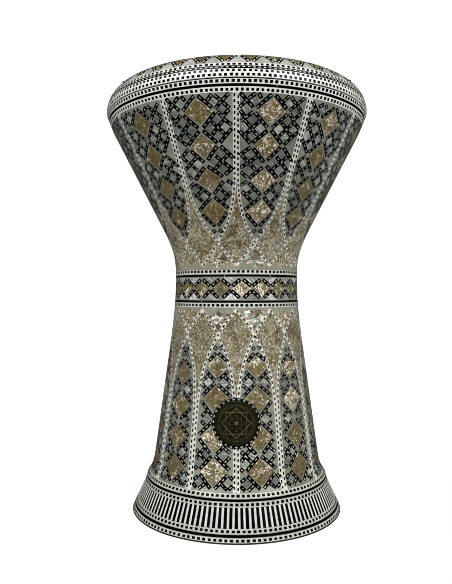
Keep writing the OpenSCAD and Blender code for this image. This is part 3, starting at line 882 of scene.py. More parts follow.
PAINT, BRONZE, FILM = paint(), bronze(), film_material()
STEEL = metal("steel", (150, 150, 152), (200, 200, 202), rough=0.18)
ALUMINIUM = metal("aluminium", (170, 170, 172), (214, 214, 215), rough=0.3)

# ------------------------------------------------------------------ rings round the shell
# name, dots, level of their centres, dot width and height, bearing of the first, strip
DOTTED_STRIPS = (
    ("foot_dotted_strip", 134, 3.0, 3.2, 2.6, 0.4, FOOT),
    ("flare_lower_dotted_strip", 134, 10.2, 3.2, 2.6, 1.1, FOOT),
    ("flare_upper_dotted_strip", 122, 31.9, 3.2, 2.7, 0.2, FOOT),
    ("stem_border_strip", 122, 39.5, 3.2, 2.7, 1.0, FOOT),
    ("waist_lower_dotted_strip", 87, 221.1, 3.1, 2.6, 0.6, CREAM),
    ("waist_upper_dotted_strip", 87, 255.2, 3.1, 2.6, 1.9, CREAM),
    ("bowl_border_strip", 187, 414.6, 2.7, 2.7, 0.3, WHITE),
    ("collar_dotted_strip", 180, 421.5, 3.0, 2.8, 0.9, WHITE))
# name, half width of the black line, bearings of its joints, edge
BLACK_BANDS = (
    ("flare_black_band", 1.3, (), FOOT),
    ("bead_black_band", 1.3, (), FOOT),
    ("waist_lower_black_band", 1.25, (-31, 88, 207), CREAM),
    ("waist_upper_black_band", 1.25, (-10, 31, 160, 250), CREAM))
COLLAR_JOINTS = (15.2, 121, 262)
FLUTES = 125


def ring_rows(low, high):
    return max(3, int(round((high - low) / 0.75)))


def joint_lines(inlay, bearings, half_width, low, high, top, mat):
    """Upright hairlines across a ring."""
    half = BODY.turn(half_width, (low + high) / 2)
    for bearing in bearings:
        inlay.tile([(bearing - half, low), (bearing + half, low),
                    (bearing + half, high), (bearing - half, high)],
                   top, MARK_BACK, mat, bevel=0.02)


for name, count, level, wide, tall, start, material in DOTTED_STRIPS:
    low, high = node_levels(name)
    low += JOINT
    # the collar's upper edge stays clear of the clamping ring at the end of its travel
    high -= 0.3 if name.startswith("collar") else JOINT
    ring = Inlay(BODY)
    ring.band(low, high, rows=ring_rows(low, high))
    ring.dots(level, count, wide, tall, start)
    ring.make(name, [material, BLACK], "strip_white")

for name, half_line, joints, material in BLACK_BANDS:
    low, high = node_levels(name)
    middle = (low + high) / 2
    ring = Inlay(BODY)
    ring.band(low + JOINT, high - JOINT)
    ring.band(middle - half_line, middle + half_line, 0.05, MARK_BACK, 1)
    joint_lines(ring, joints, 0.2, middle - 1.27, middle + 1.27, top=0.08, mat=0)
    ring.make(name, [material, BLACK], "inlay_black")

low, high = node_levels("collar_black_band")
low, high = low + JOINT, high - JOINT
ring = Inlay(BODY)
ring.band(low, high, rows=ring_rows(low, high))
joint_lines(ring, COLLAR_JOINTS, 0.16, low, high, top=0.02, mat=1)
ring.make("collar_black_band", [BLACK, CREAM], "inlay_black")

# flutes of the foot: pale rounded rods on a sunk black ground
low, high = node_levels("flare_white_flutes")
ground, rods = Inlay(BODY), Inlay(BODY)
ground.band(low + JOINT, high - JOINT, -0.22, segments=3 * FLUTES)
for i in range(FLUTES):
    bearing = (i + 0.5) * 360 / FLUTES + rng.uniform(-0.05, 0.05)
    lean = rng.uniform(-0.12, 0.12) / (DEG * float(profile(20)))
    rods.ribbon([bearing - lean, bearing + lean], [low + 0.1, high - 0.1],
                2.75 * rng.uniform(0.96, 1.04), FLUSH, SET, dome=0.42, step=2.2)
ground.make("flare_black_flutes", [BLACK], "inlay_black")
rods.make("flare_white_flutes", [FLUTE], "strip_white", sharp=50)

# ------------------------------------------------------------------ ribs and the fields they leave
# level, bearing of a rib strip's middle either side of its rib's centre line
BOWL_RIB = [
    (413, .73), (385, .74), (365, .8), (347, .9), (338, 1.0), (333, 1.3), (329, 1.5), (324, 1.9),
    (320, 2.4), (315, 3.3), (311, 4.2), (307, 5.1), (303, 6.3), (299, 7.7), (295, 9.5), (290, 12),
    (284, 15.2), (276, 20), (269, 24.3), (264.6, 27.6), (BOWL_APEX, SECTOR)]
STEM_RIB = [
    (STEM_APEX, SECTOR), (213.6, 28.1), (209.9, 25.8), (205.7, 22.9), (201.6, 20.4),
    (197.2, 17.9), (193.2, 15.8), (188.3, 13.9), (184.7, 12.4), (180, 10.7), (175, 8.8),
    (170.5, 7.5), (166, 6.3), (161, 5.1), (156, 4.15), (151, 3.4), (145.7, 2.75), (140.5, 2.35),
    (135.5, 1.85), (131, 1.6), (122, 1.3), (110, 1.15), (42, 1.13)]
RIB_WIDTH = 3.4
bowl_rib, stem_rib = monotone_curve(BOWL_RIB), monotone_curve(STEM_RIB)


def rib_strips(name, rib, far, apex, crossing, parting, pitch):
    """Pairs of dashed strips that run from far, part and cross their neighbours by the waist."""
    def width(z):
        # the strips thin a little where they part and cross
        return RIB_WIDTH * (1 - 0.16 * np.clip(2 * (parting - z) / (parting - apex), 0, 1))

    strips = Inlay(BODY)
    levels = np.linspace(far, apex, 120)
    for i in range(SECTORS):
        for sign in (-1, 1):
            bearings = i * SECTOR + sign * rib(levels)
            lift = 0.012 if sign > 0 else 0.0
            strips.ribbon(bearings, levels, width, FLUSH + lift, BACK, step=2.6, bevel=0.14)
            # the under strip has no dash at the crossing
            skip = [] if sign > 0 else [(i * SECTOR + sign * 15.1, crossing, 2.7)]
            strips.dashes(bearings, levels, pitch, 2.95, 1.6, DOT,
                          phase=2.0 + 3.0 * rng.rand(), skip=skip, margin=0.0)
    strips.make(name, [RIB, BLACK], "strip_white")


def fields(name, slot, material, levels, half_width, centre, shine=None):
    """One symmetric field per sector. shine sets the second number of some fields."""
    inlay = Inlay(BODY)
    half = half_width(levels)
    for i in range(SECTORS):
        bearing = centre + i * SECTOR
        rnd = rng.rand(3)
        if shine is not None:
            rnd = np.array([rnd[0], shine.get(i, rnd[1]), rnd[2] - 0.5])
        inlay.sheet(levels, bearing - half, bearing + half, 12, TEARDROP, bearing, rnd)
    inlay.make(name, [material], slot)


def teardrop(rib):
    """Half width of a teardrop: it opens under a rib and closes at the next ribs' apex."""
    return lambda z: np.minimum(rib(z), SECTOR - rib(z))


def triangle(rib):
    """Half width of a triangle between a crossing and the waist."""
    return lambda z: np.clip(rib(z) - SECTOR / 2, 0.02, SECTOR / 2)


rib_strips("bowl_rib_strips", bowl_rib, node_levels("bowl_rib_strips")[1] - 0.05, BOWL_APEX,
           BOWL_CROSSING, parting=332.0, pitch=5.1)
rib_strips("stem_rib_strips", stem_rib, node_levels("stem_rib_strips")[0] + 0.05, STEM_APEX,
           STEM_CROSSING, parting=132.0, pitch=5.35)
fields("bowl_teardrops", "shell_crushed", BOWL_CRUSHED, np.linspace(262.4, 352, 46),
       teardrop(bowl_rib), centre=0)
fields("stem_teardrops", "shell_crushed", STEM_CRUSHED, np.linspace(128, 215.8, 44),
       teardrop(stem_rib), centre=0)
fields("neck_upper_triangles", "pearl_white", ABALONE,
       np.linspace(node_levels("neck_upper_triangles")[0] + JOINT, BOWL_CROSSING - 0.6, 16),
       triangle(bowl_rib), centre=15, shine={10: 0.25, 11: 0.36, 0: 0.75, 1: 0.05})
fields("neck_lower_triangles", "pearl_white", ABALONE,
       np.linspace(STEM_CROSSING + 0.8, node_levels("neck_lower_triangles")[1] - JOINT, 16),
       triangle(stem_rib), centre=15, shine={10: 0.05, 11: 0.9, 0: 0.95, 1: 0.1})

# ------------------------------------------------------------------ mosaic panels
# Bearings here are from the panel's left edge.
# Chain bars: bearing and level of one end, bearing and level of the other
BOWL_CHAIN = [
    (1.4, 412, 6.6, 400.8), (4.8, 407.5, 7.3, 411.8), (8.4, 411.8, 9.7, 407.8),
    (8, 400.3, 13.7, 411.2), (1.2, 400.8, 3.8, 405.5), (1.5, 398.3, 4, 391.8),
    (3.4, 390.8, 9.4, 378.3), (2.1, 389.5, 6.7, 397.2), (7.6, 396.5, 13.4, 385.2),
    (3.3, 378, 10, 390.2), (1.2, 381.8, 6.5, 371.6), (7.3, 372.1, 13.6, 382.8),
    (1.6, 361.7, 6.8, 369), (7.8, 367.6, 13.7, 356.6), (2.6, 362, 9.8, 350),
    (2.2, 351.6, 10.2, 361), (2.3, 347.8, 5.6, 343.3), (6.9, 342.3, 13.6, 352.5),
    (2.4, 335.8, 5.9, 339.8), (6.7, 338.6, 14.4, 327.8), (5.5, 328.2, 9.8, 332.6),
    (3.3, 331, 9.8, 321.2), (5.3, 314.3, 14.3, 325.5), (6.3, 310.8, 14.8, 299.4),
    (12.4, 293.8, 14.6, 296),
    (21.6, 400, 27.3, 411.5), (21.5, 410.6, 24, 405.8), (18.6, 406.5, 20.7, 411.5),
    (15, 411.2, 20.4, 400.8), (24.9, 404.5, 27.3, 400), (24.2, 393, 27.2, 399),
    (22.2, 397.8, 24.4, 393), (24.6, 391.7, 28.2, 386.4), (15.6, 385.2, 21.4, 397),
    (19.4, 390, 25.2, 379.4), (19.4, 379, 24.9, 391), (22.6, 372.4, 28.2, 384),
    (15.2, 383.2, 21.3, 372.5), (22.5, 369.7, 28.7, 359.5), (15.7, 358.4, 21.2, 369.8),
    (19.8, 361.8, 27, 351.4), (19, 351, 26, 362.5), (24.1, 345.2, 28.3, 351.8),
    (15.3, 353.5, 22.8, 344), (24.9, 340.8, 28, 337.3), (16.8, 328.5, 23, 339.8),
    (20.4, 334, 24.3, 328.7), (21.3, 321.2, 27, 330.5), (16.5, 326.3, 24.9, 315.5),
    (16.8, 299.6, 24, 311.7), (17, 296, 19.5, 294)]
STEM_CHAIN = [
    (6.6, 56.3, 14.4, 44.3), (2.6, 50.5, 5.6, 54.3), (2.6, 47.6, 5.3, 43.7),
    (7, 43.5, 10.6, 48), (6.3, 61, 14, 74.2), (3, 79.3, 10, 69), (2.8, 69.6, 10.2, 84),
    (2.5, 63.2, 4.6, 60.8), (4.5, 89.4, 12.8, 76.6), (4, 93.6, 13, 106.5),
    (4.2, 126.2, 13.5, 111.8), (8, 103.2, 5, 106.7), (8.5, 116.2, 5.2, 111.2),
    (5, 131.3, 14.2, 144.5), (4, 142.6, 8.5, 138), (4.5, 146, 8.8, 151.3), (6.7, 156, 14, 146),
    (8.3, 165.5, 14.2, 173.6), (12.3, 179.6, 14.8, 177.3),
    (16.8, 44.4, 25, 57.5), (20.8, 49, 24.5, 44), (25.2, 44, 28, 48), (26, 56, 28, 53),
    (16.2, 74.6, 25.8, 62), (17.2, 76.6, 25.5, 89.4), (22.2, 82.5, 26, 77.8),
    (22.3, 68.5, 26, 74.3), (17, 106.5, 26, 93.6), (22, 103.2, 25, 106.7),
    (16.5, 111.8, 25.8, 126.2), (21.5, 116.2, 24.8, 111.2), (16.3, 143, 26.3, 131),
    (16.3, 147, 24.5, 156), (21.2, 150.8, 25.8, 145.5), (22, 137.5, 26, 143.3),
    (15.8, 173.5, 22.8, 166), (16.8, 178, 19, 179.3)]
CROSSED_BARS = [(11.6, 186.4, 18.4, 178.0), (11.6, 178.0, 18.4, 186.4)]  # in one stem panel only
# Shell diamonds, from the top down: bearing, level, half width in degrees, half height
BOWL_PLATES = [(14.4, 398.3, 6.2, 10.4), (14.4, 370.6, 6.2, 10.2), (15.2, 341.2, 7.4, 10.4),
               (15.5, 312.8, 9.1, 11.2)]
STEM_PLATES = [(15.3, 160.2, 8.2, 11.3), (15.4, 128.5, 9.8, 13.3), (15.5, 91.3, 9.6, 13),
               (15.5, 59.5, 9.1, 13.2)]
# Small pearl diamonds: bearing, level
BOWL_SQUARES = [
    (7.3, 405.5), (3.8, 400), (6.7, 391.2), (3.3, 384.6), (10.1, 384), (6.8, 378.3), (6.4, 363),
    (2.7, 356.5), (9.9, 356), (6, 349), (6, 335), (9.7, 327), (21.2, 405.3), (24.3, 399),
    (21.9, 391.5), (18.6, 384.3), (25.4, 384.8), (22.3, 378.5), (22.2, 363.5), (18.9, 357),
    (26.3, 357), (23, 350.5), (25, 335), (20.8, 327)]
STEM_SQUARES = [
    (8.5, 144.8), (8.6, 109), (10.5, 75.5), (5.5, 66.8), (6.3, 49.5), (21.5, 144.3),
    (20.8, 109.3), (21.4, 75.8), (25, 50.5)]
# Glint (0 dull, 1 bright), tone (0 dark, 1 pale) and hue (0 green, 1 pink) of the shell
# diamonds of the front panels, from the top down; panels 10, 11, 0, 1 run left to right
LOOK = {
    "bowl": {
        10: ((0.30, 0.45, 0.25), (0.35, 0.40, 0.30), (0.25, 0.45, 0.55), (0.30, 0.40, 0.45)),
        11: ((0.42, 0.55, 0.42), (0.62, 0.60, 0.55), (0.55, 0.60, 0.78), (0.55, 0.50, 0.30)),
        0: ((0.95, 0.80, 0.85), (0.80, 0.72, 0.80), (0.85, 0.70, 0.45), (0.90, 0.75, 0.75)),
        1: ((0.75, 0.60, 0.35), (0.40, 0.50, 0.50), (0.35, 0.45, 0.50), (0.45, 0.50, 0.45))},
    "stem": {
        10: ((0.35, 0.40, 0.50), (0.62, 0.50, 0.45), (0.50, 0.60, 0.65), (0.30, 0.45, 0.60)),
        11: ((0.62, 0.62, 0.45), (0.50, 0.60, 0.70), (0.88, 0.70, 0.75), (0.92, 0.85, 0.85)),
        0: ((0.60, 0.60, 0.30), (0.55, 0.55, 0.20), (0.45, 0.62, 0.50), (0.60, 0.68, 0.60)),
        1: ((0.80, 0.45, 0.40), (0.95, 0.75, 0.60), (0.40, 0.45, 0.50), (0.35, 0.45, 0.55))}}
# Two panels of each kind sit a little lower: levels in the tables, levels there
LOWERED = {
    ("stem", 10): ([40, 59.5, 91.3, 128.5, 160.2, 190], [40, 59.0, 88.6, 119.6, 151.8, 181]),
    ("stem", 1): ([40, 59.5, 91.3, 128.5, 160.2, 182], [40, 59.5, 91.3, 126.0, 157.0, 179]),
    ("bowl", 10): ([285, 312.8, 341.2, 370.6, 398.3, 410], [285, 309.6, 337.4, 367.2, 396.6, 409.5]),
    ("bowl", 1): ([285, 312.8, 341.2, 370.6, 398.3, 410], [285, 310.0, 337.0, 367.0, 396.6, 409.5])}


def plate_look(glint, tone, hue):
    """A shell plate's three numbers: the sevenths of the first carry its hue."""
    return np.array([(rng.randint(0, 7) + min(0.98, max(0.02, hue))) / 7, glint, tone])


def under_medallion(bearing, level, radius=19.5):
    bearing = (bearing + 180) % 360 - 180
    return math.hypot(BODY.arc(bearing, level), level - MEDALLION_Z) < radius


def chain_bar(inlay, bearings, levels, width, pitch, dash, margin):
    """A black bar with pale dashes along it."""
    inlay.ribbon(bearings, levels, width, CHAIN, SET, bevel=0.1, step=3.0)
    inlay.dashes(bearings, levels, pitch, dash, 0.85, DASH, bottom=-0.3, margin=margin, bevel=0.04)


def panels(name, levels, rib, chain, plates, squares, square_size, square_pearl, dash, shell):
    """The mosaic panels between the ribs. square_size is half a square's width and height."""
    ground, bars, diamonds = Inlay(BODY), Inlay(BODY), Inlay(BODY)
    half_wide, half_tall = square_size
    edge = np.minimum(rib(levels), 14.98)
    for i in range(SECTORS):
        start = i * SECTOR
        ground.sheet(levels, start + edge, start + (SECTOR - edge), 14, FIELD, start + 15)

        def lowered(z):
            table = LOWERED.get((name, i))
            return z if table is None else float(np.interp(z, *table))

        def placed(bearing, z):
            bearing = bearing + start + rng.uniform(-.12, .12)
            return bearing, lowered(z) + rng.uniform(-.25, .25)

        for square in squares:
            bearing, z = placed(*square)
            if under_medallion(bearing, z):
                continue
            half_turn = half_wide / (DEG * float(profile(z)))
            ground.tile(diamond(bearing, half_turn, z - half_tall, z, z + half_tall),
                        SQUARE, SET, 1, columns=2, rows=2, bevel=0.07)
        for j, (bearing, z, half_turn, half_height) in enumerate(plates):
            bearing, z = placed(bearing, z)
            numbers = LOOK[name][i][j] if i in LOOK[name] else rng.uniform(0.25, 0.85, 3)
            diamonds.tile(diamond(bearing, half_turn, z - half_height, z, z + half_height),
                          FLUSH, SET, 0, columns=8, rows=8, bevel=0.14, crown=0.05,
                          rnd=plate_look(*numbers))
        extra = CROSSED_BARS if (name, i) == ("stem", 10) else []
        for bearing1, z1, bearing2, z2 in chain + extra:
            jitter = rng.uniform(-.22, .22, 4)
            z1, z2 = lowered(z1), lowered(z2)
            ends = [bearing1 + start + jitter[0] * .6, bearing2 + start + jitter[1] * .6]
            heights = [z1 + jitter[2], z2 + jitter[3]]
            if all(under_medallion(*end, 22) for end in zip(ends, heights)):
                continue
            length = math.hypot((ends[1] - ends[0]) * DEG * float(profile(z1)),
                                heights[1] - heights[0])
            chain_bar(bars, ends, heights, 3.85 * rng.uniform(.95, 1.05), pitch=5.5,
                      dash=2.2 if length > 6 else 1.8, margin=0.7)
    ground.make(name + "_pearl", [GREY_PEARL, square_pearl], "pearl_grey", name + "_pearl_panels")
    bars.make(name + "_chain_strips", [BLACK, dash], "inlay_black", name + "_chain_frames")
    diamonds.make(name + "_shell_diamonds", [shell], "shell_gold")


panels("bowl",
       np.linspace(BOWL_CROSSING + 0.8, node_levels("bowl_pearl_panels")[1] - JOINT, 48),
       bowl_rib, BOWL_CHAIN, BOWL_PLATES, BOWL_SQUARES, (5.55, 4.55),
       BOWL_SQUARE, BOWL_DASH, BOWL_SHELL)
panels("stem",
       np.linspace(node_levels("stem_pearl_panels")[0] + JOINT, STEM_CROSSING - 0.8, 52),
       stem_rib, STEM_CHAIN, STEM_PLATES, STEM_SQUARES, (4.9, 5.0),
       STEM_SQUARE, STEM_DASH, STEM_SHELL)

# ------------------------------------------------------------------ waist
WAIST_PLATES, WAIST_Z = 20, 237.9
WAIST_PITCH = 360 / WAIST_PLATES
# glint and hue of the front diamonds
WAIST_GLINT = {16: 0.45, 17: 0.8, 18: 0.6, 19: 0.35, 0: 1.0, 1: 0.75, 2: 0.6, 3: 0.3, 4: 0.3}
WAIST_HUE = {17: 0.2, 18: 0.4, 19: 0.5, 0: 0.55, 1: 0.35}
# chain bars beside a diamond: bearings from its middle, levels
WAIST_BARS = (((1.2, 8.2), (247.2, 240.6)), ((1.9, 9.0), (228.7, 236.0)))

low, high = node_levels("waist_pearl_band")
ground, bars, diamonds = Inlay(BODY), Inlay(BODY), Inlay(BODY)
ground.band(low + JOINT, high - JOINT, FIELD, rows=9)
for i in range(WAIST_PLATES):
    centre = 4.4 + WAIST_PITCH * i + rng.uniform(-.25, .25)
    between = centre + WAIST_PITCH / 2
    # triangular plates above and below, between this diamond and the next
    for base, tip in ((high - 0.5, 240.6), (low + 0.5, 235.4)):
        ground.tile([(between - 7.2, base), (between + 7.2, base),
                     (between + 0.15, tip), (between - 0.15, tip)],
                    SQUARE, SET, 1, columns=6, rows=3, bevel=0.06)
    glint = WAIST_GLINT.get(i, rng.uniform(0.3, 0.9))
    hue = WAIST_HUE.get(i, rng.rand())
    diamonds.tile(diamond(centre, 8.3, WAIST_Z - 8.4, WAIST_Z, WAIST_Z + 8.4), FLUSH, SET, 0,
                  columns=6, rows=6, bevel=0.14, crown=0.05,
                  rnd=plate_look(glint, 0.35 + 0.5 * glint, hue))
    for sign in (-1, 1):
        for (near, far), levels in WAIST_BARS:
            chain_bar(bars, (centre + sign * near, centre + sign * far), levels, 4.05,
                      pitch=5.2, dash=2.1, margin=0.5)
ground.make("waist_pearl_band", [GREY_PEARL, WAIST_PEARL], "pearl_grey")
bars.make("waist_chain_strips", [BLACK, STEM_DASH], "inlay_black", "waist_chain_frames")
diamonds.make("waist_shell_diamonds", [WAIST_SHELL], "shell_gold")

# ------------------------------------------------------------------ medallion
box_low, box_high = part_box("medallion_disc")
DISC_RADIUS = (box_high.x - box_low.x) * 500
DISC_SECTORS, DISC_RINGS = 288, 110
RELIEF_BASE = 0.28
SQUARE_REACH = 14.4  # from the centre to the corners of the star's two squares


def on_body(x, z):
    """Bearing and level of a point x mm to the left of the medallion's centre, z mm up."""
    z = MEDALLION_Z + z
    return -x / (DEG * profile(z)), z


def circle(radius):
    t = np.linspace(0, 2 * math.pi, 181)
    return on_body(radius * np.sin(t), radius * np.cos(t))


def star_edge(angle, tips, outer, inner):
    """Distance from the centre to the outline of a star."""
    half = math.pi / tips
    folded = np.abs((angle + half) % (2 * half) - half)
    dx, dy = inner * math.cos(half) - outer, inner * math.sin(half)
    return outer * dy / (np.cos(folded) * dy - np.sin(folded) * dx)


def smooth(x, low, high):
    t = np.clip((x - low) / (high - low), 0, 1)
    return t * t * (3 - 2 * t)


def relief(x, y, radius, angle):
    """Height of the disc's raised work."""
    def dome(distance, reach):
        return np.sqrt(np.clip(1 - (distance / reach) ** 2, 0, 1))

    # raised lines: distance from the line's middle, half width, height
    lines = (
        # two interlaced squares make the star
        ((np.abs(x) + np.abs(y) - SQUARE_REACH) / math.sqrt(2), 0.42, 0.42),
        (np.maximum(np.abs(x), np.abs(y)) - SQUARE_REACH / math.sqrt(2), 0.42, 0.42),
        # a rosette of eight petals, a fine star and a line near the edge
        (radius - (5.6 + 2.0 * np.cos(8 * angle)), 0.4, 0.4),
        (radius - star_edge(angle + math.pi / 8, tips=8, outer=11.0, inner=5.0), 0.3, 0.22),
        (radius - 15.9, 0.3, 0.3))
    height = np.full(radius.shape, RELIEF_BASE)
    for distance, width, rise in lines:
        height = np.maximum(height, RELIEF_BASE + rise * np.exp(-(distance / width) ** 2))
    # domed middle
    height = np.maximum(height, RELIEF_BASE + 0.5 * dome(radius, 2.2))
    # ring of 44 beads
    along = (angle * 44 / (2 * math.pi) % 1 - 0.5) * 2 * math.pi * 17.6 / 44
    height = np.maximum(height, RELIEF_BASE + 0.34 * dome(np.hypot(radius - 17.6, along), 0.85))
    # lip
    height += (0.3 * smooth(radius, 19.3, 19.9)
               * (1 - 0.5 * smooth(radius, DISC_RADIUS - 0.6, DISC_RADIUS)))
    return np.minimum(height, 1.12)


def medallion_disc():
    turns = np.linspace(0, 2 * math.pi, DISC_SECTORS, endpoint=False)
    radii = np.linspace(0, 1, DISC_RINGS + 1)[1:] ** 0.85 * DISC_RADIUS
    radius, angle = np.meshgrid(radii, turns, indexing="ij")
    x, y = radius * np.sin(angle), radius * np.cos(angle)
    height = relief(x, y, radius, angle)
    # rings of points, then the middle, then the underside's edge
    x = np.concatenate([x.ravel(), [0], DISC_RADIUS * np.sin(turns)])
    y = np.concatenate([y.ravel(), [0], DISC_RADIUS * np.cos(turns)])
    off = np.concatenate([height.ravel(), [height[0].mean()], np.full(DISC_SECTORS, BACK)])
    middle = DISC_SECTORS * DISC_RINGS
    under, last = middle + 1, middle - DISC_SECTORS
    sectors = [(j, (j + 1) % DISC_SECTORS) for j in range(DISC_SECTORS)]
    faces = [(j, after, middle) for j, after in sectors]
    for start in range(0, last, DISC_SECTORS):
        up = start + DISC_SECTORS
        faces += [(start + j, start + after, up + after, up + j) for j, after in sectors]
    faces += [(last + j, last + after, under + after, under + j) for j, after in sectors]
    faces.append(tuple(under + j for j in range(DISC_SECTORS - 1, -1, -1)))
    disc = Inlay(BODY)
    disc.add(*on_body(x, y), off, x, y, faces, 0, np.zeros(3))
    disc.make("medallion_disc", [BRONZE], "bronze", sharp=60)


ring = Inlay(BODY)
ring.ribbon(*circle(DISC_RADIUS + 1.6), 3.0, 0.16, BACK, closed=True, bevel=0.14)
ring.dashes(*circle(DISC_RADIUS + 1.65), 5.3, 2.3, 0.95, 0.21, closed=True)
ring.make("medallion_chain_ring", [BLACK, CREAM], "inlay_black")
medallion_disc()

# ------------------------------------------------------------------ clamping ring inlay
rim_foot = crown_level(node_levels("rim_lower_dotted_strips")[0])
chain_low, chain_high, MOSAIC_LOW = crown_level(432.0), crown_level(434.9), 27.0

ring = Inlay(CROWN)
ring.band(rim_foot + 0.3, chain_low - 0.1, rows=10)
ring.dots(crown_level(426.5), 180, 2.9, 2.6, 0.2)
ring.dots(crown_level(430.3), 178, 2.8, 2.4, 1.0)
ring.make("rim_lower_dotted_strips", [WHITE, RIM_BLACK], "strip_white")

ring = Inlay(CROWN)
ring.band(chain_low + 0.1, chain_high - 0.1)
ring.dots((chain_low + chain_high) / 2, 184, 2.2, 0.8, 0.7)
ring.make("rim_chain_strip", [RIM_BLACK, WHITE], "inlay_black")

ring = Inlay(CROWN)
ring.band(chain_high + 0.1, MOSAIC_LOW - 0.1)
ring.dots((chain_high + MOSAIC_LOW) / 2 - 0.2, 176, 2.8, 2.4, 1.2)
ring.make("rim_upper_dotted_strip", [WHITE, RIM_BLACK], "strip_white")

# mosaic over the crown, cut away round the six screws
SCREW_NODES = [f"tension_screw_{i}" for i in range(1, 7)]
SCREW_HOLE = 0.0056  # radius, metres
screws = []
for node in SCREW_NODES:
    box_low, box_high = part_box(node)
    screws.append(((box_low.x + box_high.x) / 2 * 1000, (box_low.y + box_high.y) / 2 * 1000))


def screw_cutter():
    """Upright cylinders at the screws."""
    sides = 64
    verts, faces = [], []
    for x, y in screws:
        first = len(verts)
        for z in (0.428, 0.47):
            for j in range(sides):
                angle = 2 * math.pi * j / sides
                verts.append((x * MM + SCREW_HOLE * math.cos(angle),
                              y * MM + SCREW_HOLE * math.sin(angle), z))
        top = first + sides
        faces += [(first + j, first + (j + 1) % sides, top + (j + 1) % sides, top + j)
                  for j in range(sides)]
        faces += [tuple(first + j for j in range(sides - 1, -1, -1)),
                  tuple(top + j for j in range(sides))]
    return mesh_object("cut", verts, faces)


def cut(obj, tool):
    modifier = obj.modifiers.new("holes", "BOOLEAN")
    modifier.operation, modifier.object, modifier.solver = "DIFFERENCE", tool, "EXACT"
    graph = bpy.context.evaluated_depsgraph_get()
    mesh = bpy.data.meshes.new_from_object(obj.evaluated_get(graph), preserve_all_data_layers=True,
                                           depsgraph=graph)
    obj.modifiers.remove(modifier)
    uncut = obj.data
    obj.data = mesh
    bpy.data.meshes.remove(uncut)


def near_screw(bearing, level):
    place = CROWN.point(bearing, level, 0.0)
    return any(math.hypot(place[0] - x, place[1] - y) < 7.0 for x, y in screws)


low, high = 31.0, 84.5
middle = CROWN.level_at((CROWN.along(low) + CROWN.along(high)) / 2)
half_turn = 360 / RIM_PLATES / 2 - 0.55
ground, plates, bars, marks = Inlay(CROWN), Inlay(CROWN), Inlay(CROWN), Inlay(CROWN)
ground.band(27.1, 86.5, FIELD, segments=8 * RIM_PLATES, rows=14)
for i in range(RIM_PLATES):
    centre = RIM_START + i * 360 / RIM_PLATES + rng.uniform(-.12, .12)
    plates.tile(diamond(centre, half_turn, low, middle, high), FLUSH, SET, 0,
                columns=8, rows=8, bevel=0.14)
    for sign in (-1, 1):
        bearings = (centre + sign * 0.75, centre + sign * (half_turn - 0.15))
        for levels in ((low + 0.2, middle - 2.2), (high - 0.5, middle + 2.2)):
            bars.ribbon(bearings, levels, 3.9, CHAIN, SET, bevel=0.1)
            bearing, level, *_ = path(CROWN, bearings, levels, 1.0)
            skip = [(x, y, 1.6) for x, y in zip(bearing, level) if near_screw(x, y)]
            marks.dashes(bearings, levels, 5.2, 2.3, 1.0, DASH, mat=0, bottom=-0.02,
                         margin=0.7, bevel=0.03, skip=skip)
tool = screw_cutter()
drilled = [ground.make("rim_pearl_band", [RIM_PEARL], "pearl_white"),
           plates.make("rim_shell_diamonds", [RIM_SHELL], "shell_gold"),
           bars.make("rim_chain_edges", [RIM_BLACK], "inlay_black", node="")]
for obj in drilled:
    cut(obj, tool)
marks.make("rim_chain_dashes", [WHITE], "strip_white", node="")
bpy.data.objects.remove(tool)

# ------------------------------------------------------------------ film
FILM_TOP = node_levels("head_film")[1]
FILM_THICK = 0.24
BEND, BEND_RADIUS = 3.18, 106.6  # fold over the bearing edge, and radius of its centre
FILM_SEGMENTS = 180


def film_faces_at(radius, z):
    """Outer and inner point of the film at a point of its outline."""
    if z < FILM_TOP - 3.4:  # upright skirt
        return (radius + FILM_THICK / 2, z), (radius - FILM_THICK / 2, z)
    if radius < 106.5:      # flat head
        return (radius, z), (radius, z - FILM_THICK)
    shrink = (BEND - FILM_THICK) / BEND
    centre = FILM_TOP - BEND
    return (radius, z), (BEND_RADIUS + (radius - BEND_RADIUS) * shrink,
                         centre + (z - centre) * shrink)


def stretched_film():
    """The film, from the middle over the bearing edge and down to the hoop."""
    outline = [(radius, FILM_TOP) for radius in (0.0, 12, 28, 46, 64, 82, 95, 103)]
    outline.append((106.4, FILM_TOP - 0.01))
    outline += [(BEND_RADIUS + BEND * math.sin(angle * DEG),
                 FILM_TOP - BEND + BEND * math.cos(angle * DEG)) for angle in (12, 28, 44, 60, 76)]
    outline += [(109.85, FILM_TOP - drop) for drop in (4.2, 6.5, 9, 11.5, 14.0)]
    outer, inner = np.array([film_faces_at(*point) for point in outline]).transpose(1, 0, 2)
    section = np.concatenate([outer[1:], inner[:0:-1]])
    size = len(section)
    verts, faces = [(0, 0, outer[0][1]), (0, 0, inner[0][1])], []
    for j in range(FILM_SEGMENTS):
        angle = 2 * math.pi * j / FILM_SEGMENTS
        verts += [(radius * math.cos(angle), radius * math.sin(angle), z) for radius, z in section]
        here, ahead = 2 + j * size, 2 + ((j + 1) % FILM_SEGMENTS) * size
        faces += [(here + i, here + i + 1, ahead + i + 1, ahead + i) for i in range(size - 1)]
        faces += [(0, here, ahead), (1, ahead + size - 1, here + size - 1)]
    film = mesh_object("stretched_film", (np.array(verts) * MM).tolist(), faces, [FILM])
    film.data.name = "drum_film"
    smooth_shade(film.data, 40)
    return film


film = stretched_film()
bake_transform(film)
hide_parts("head_film")

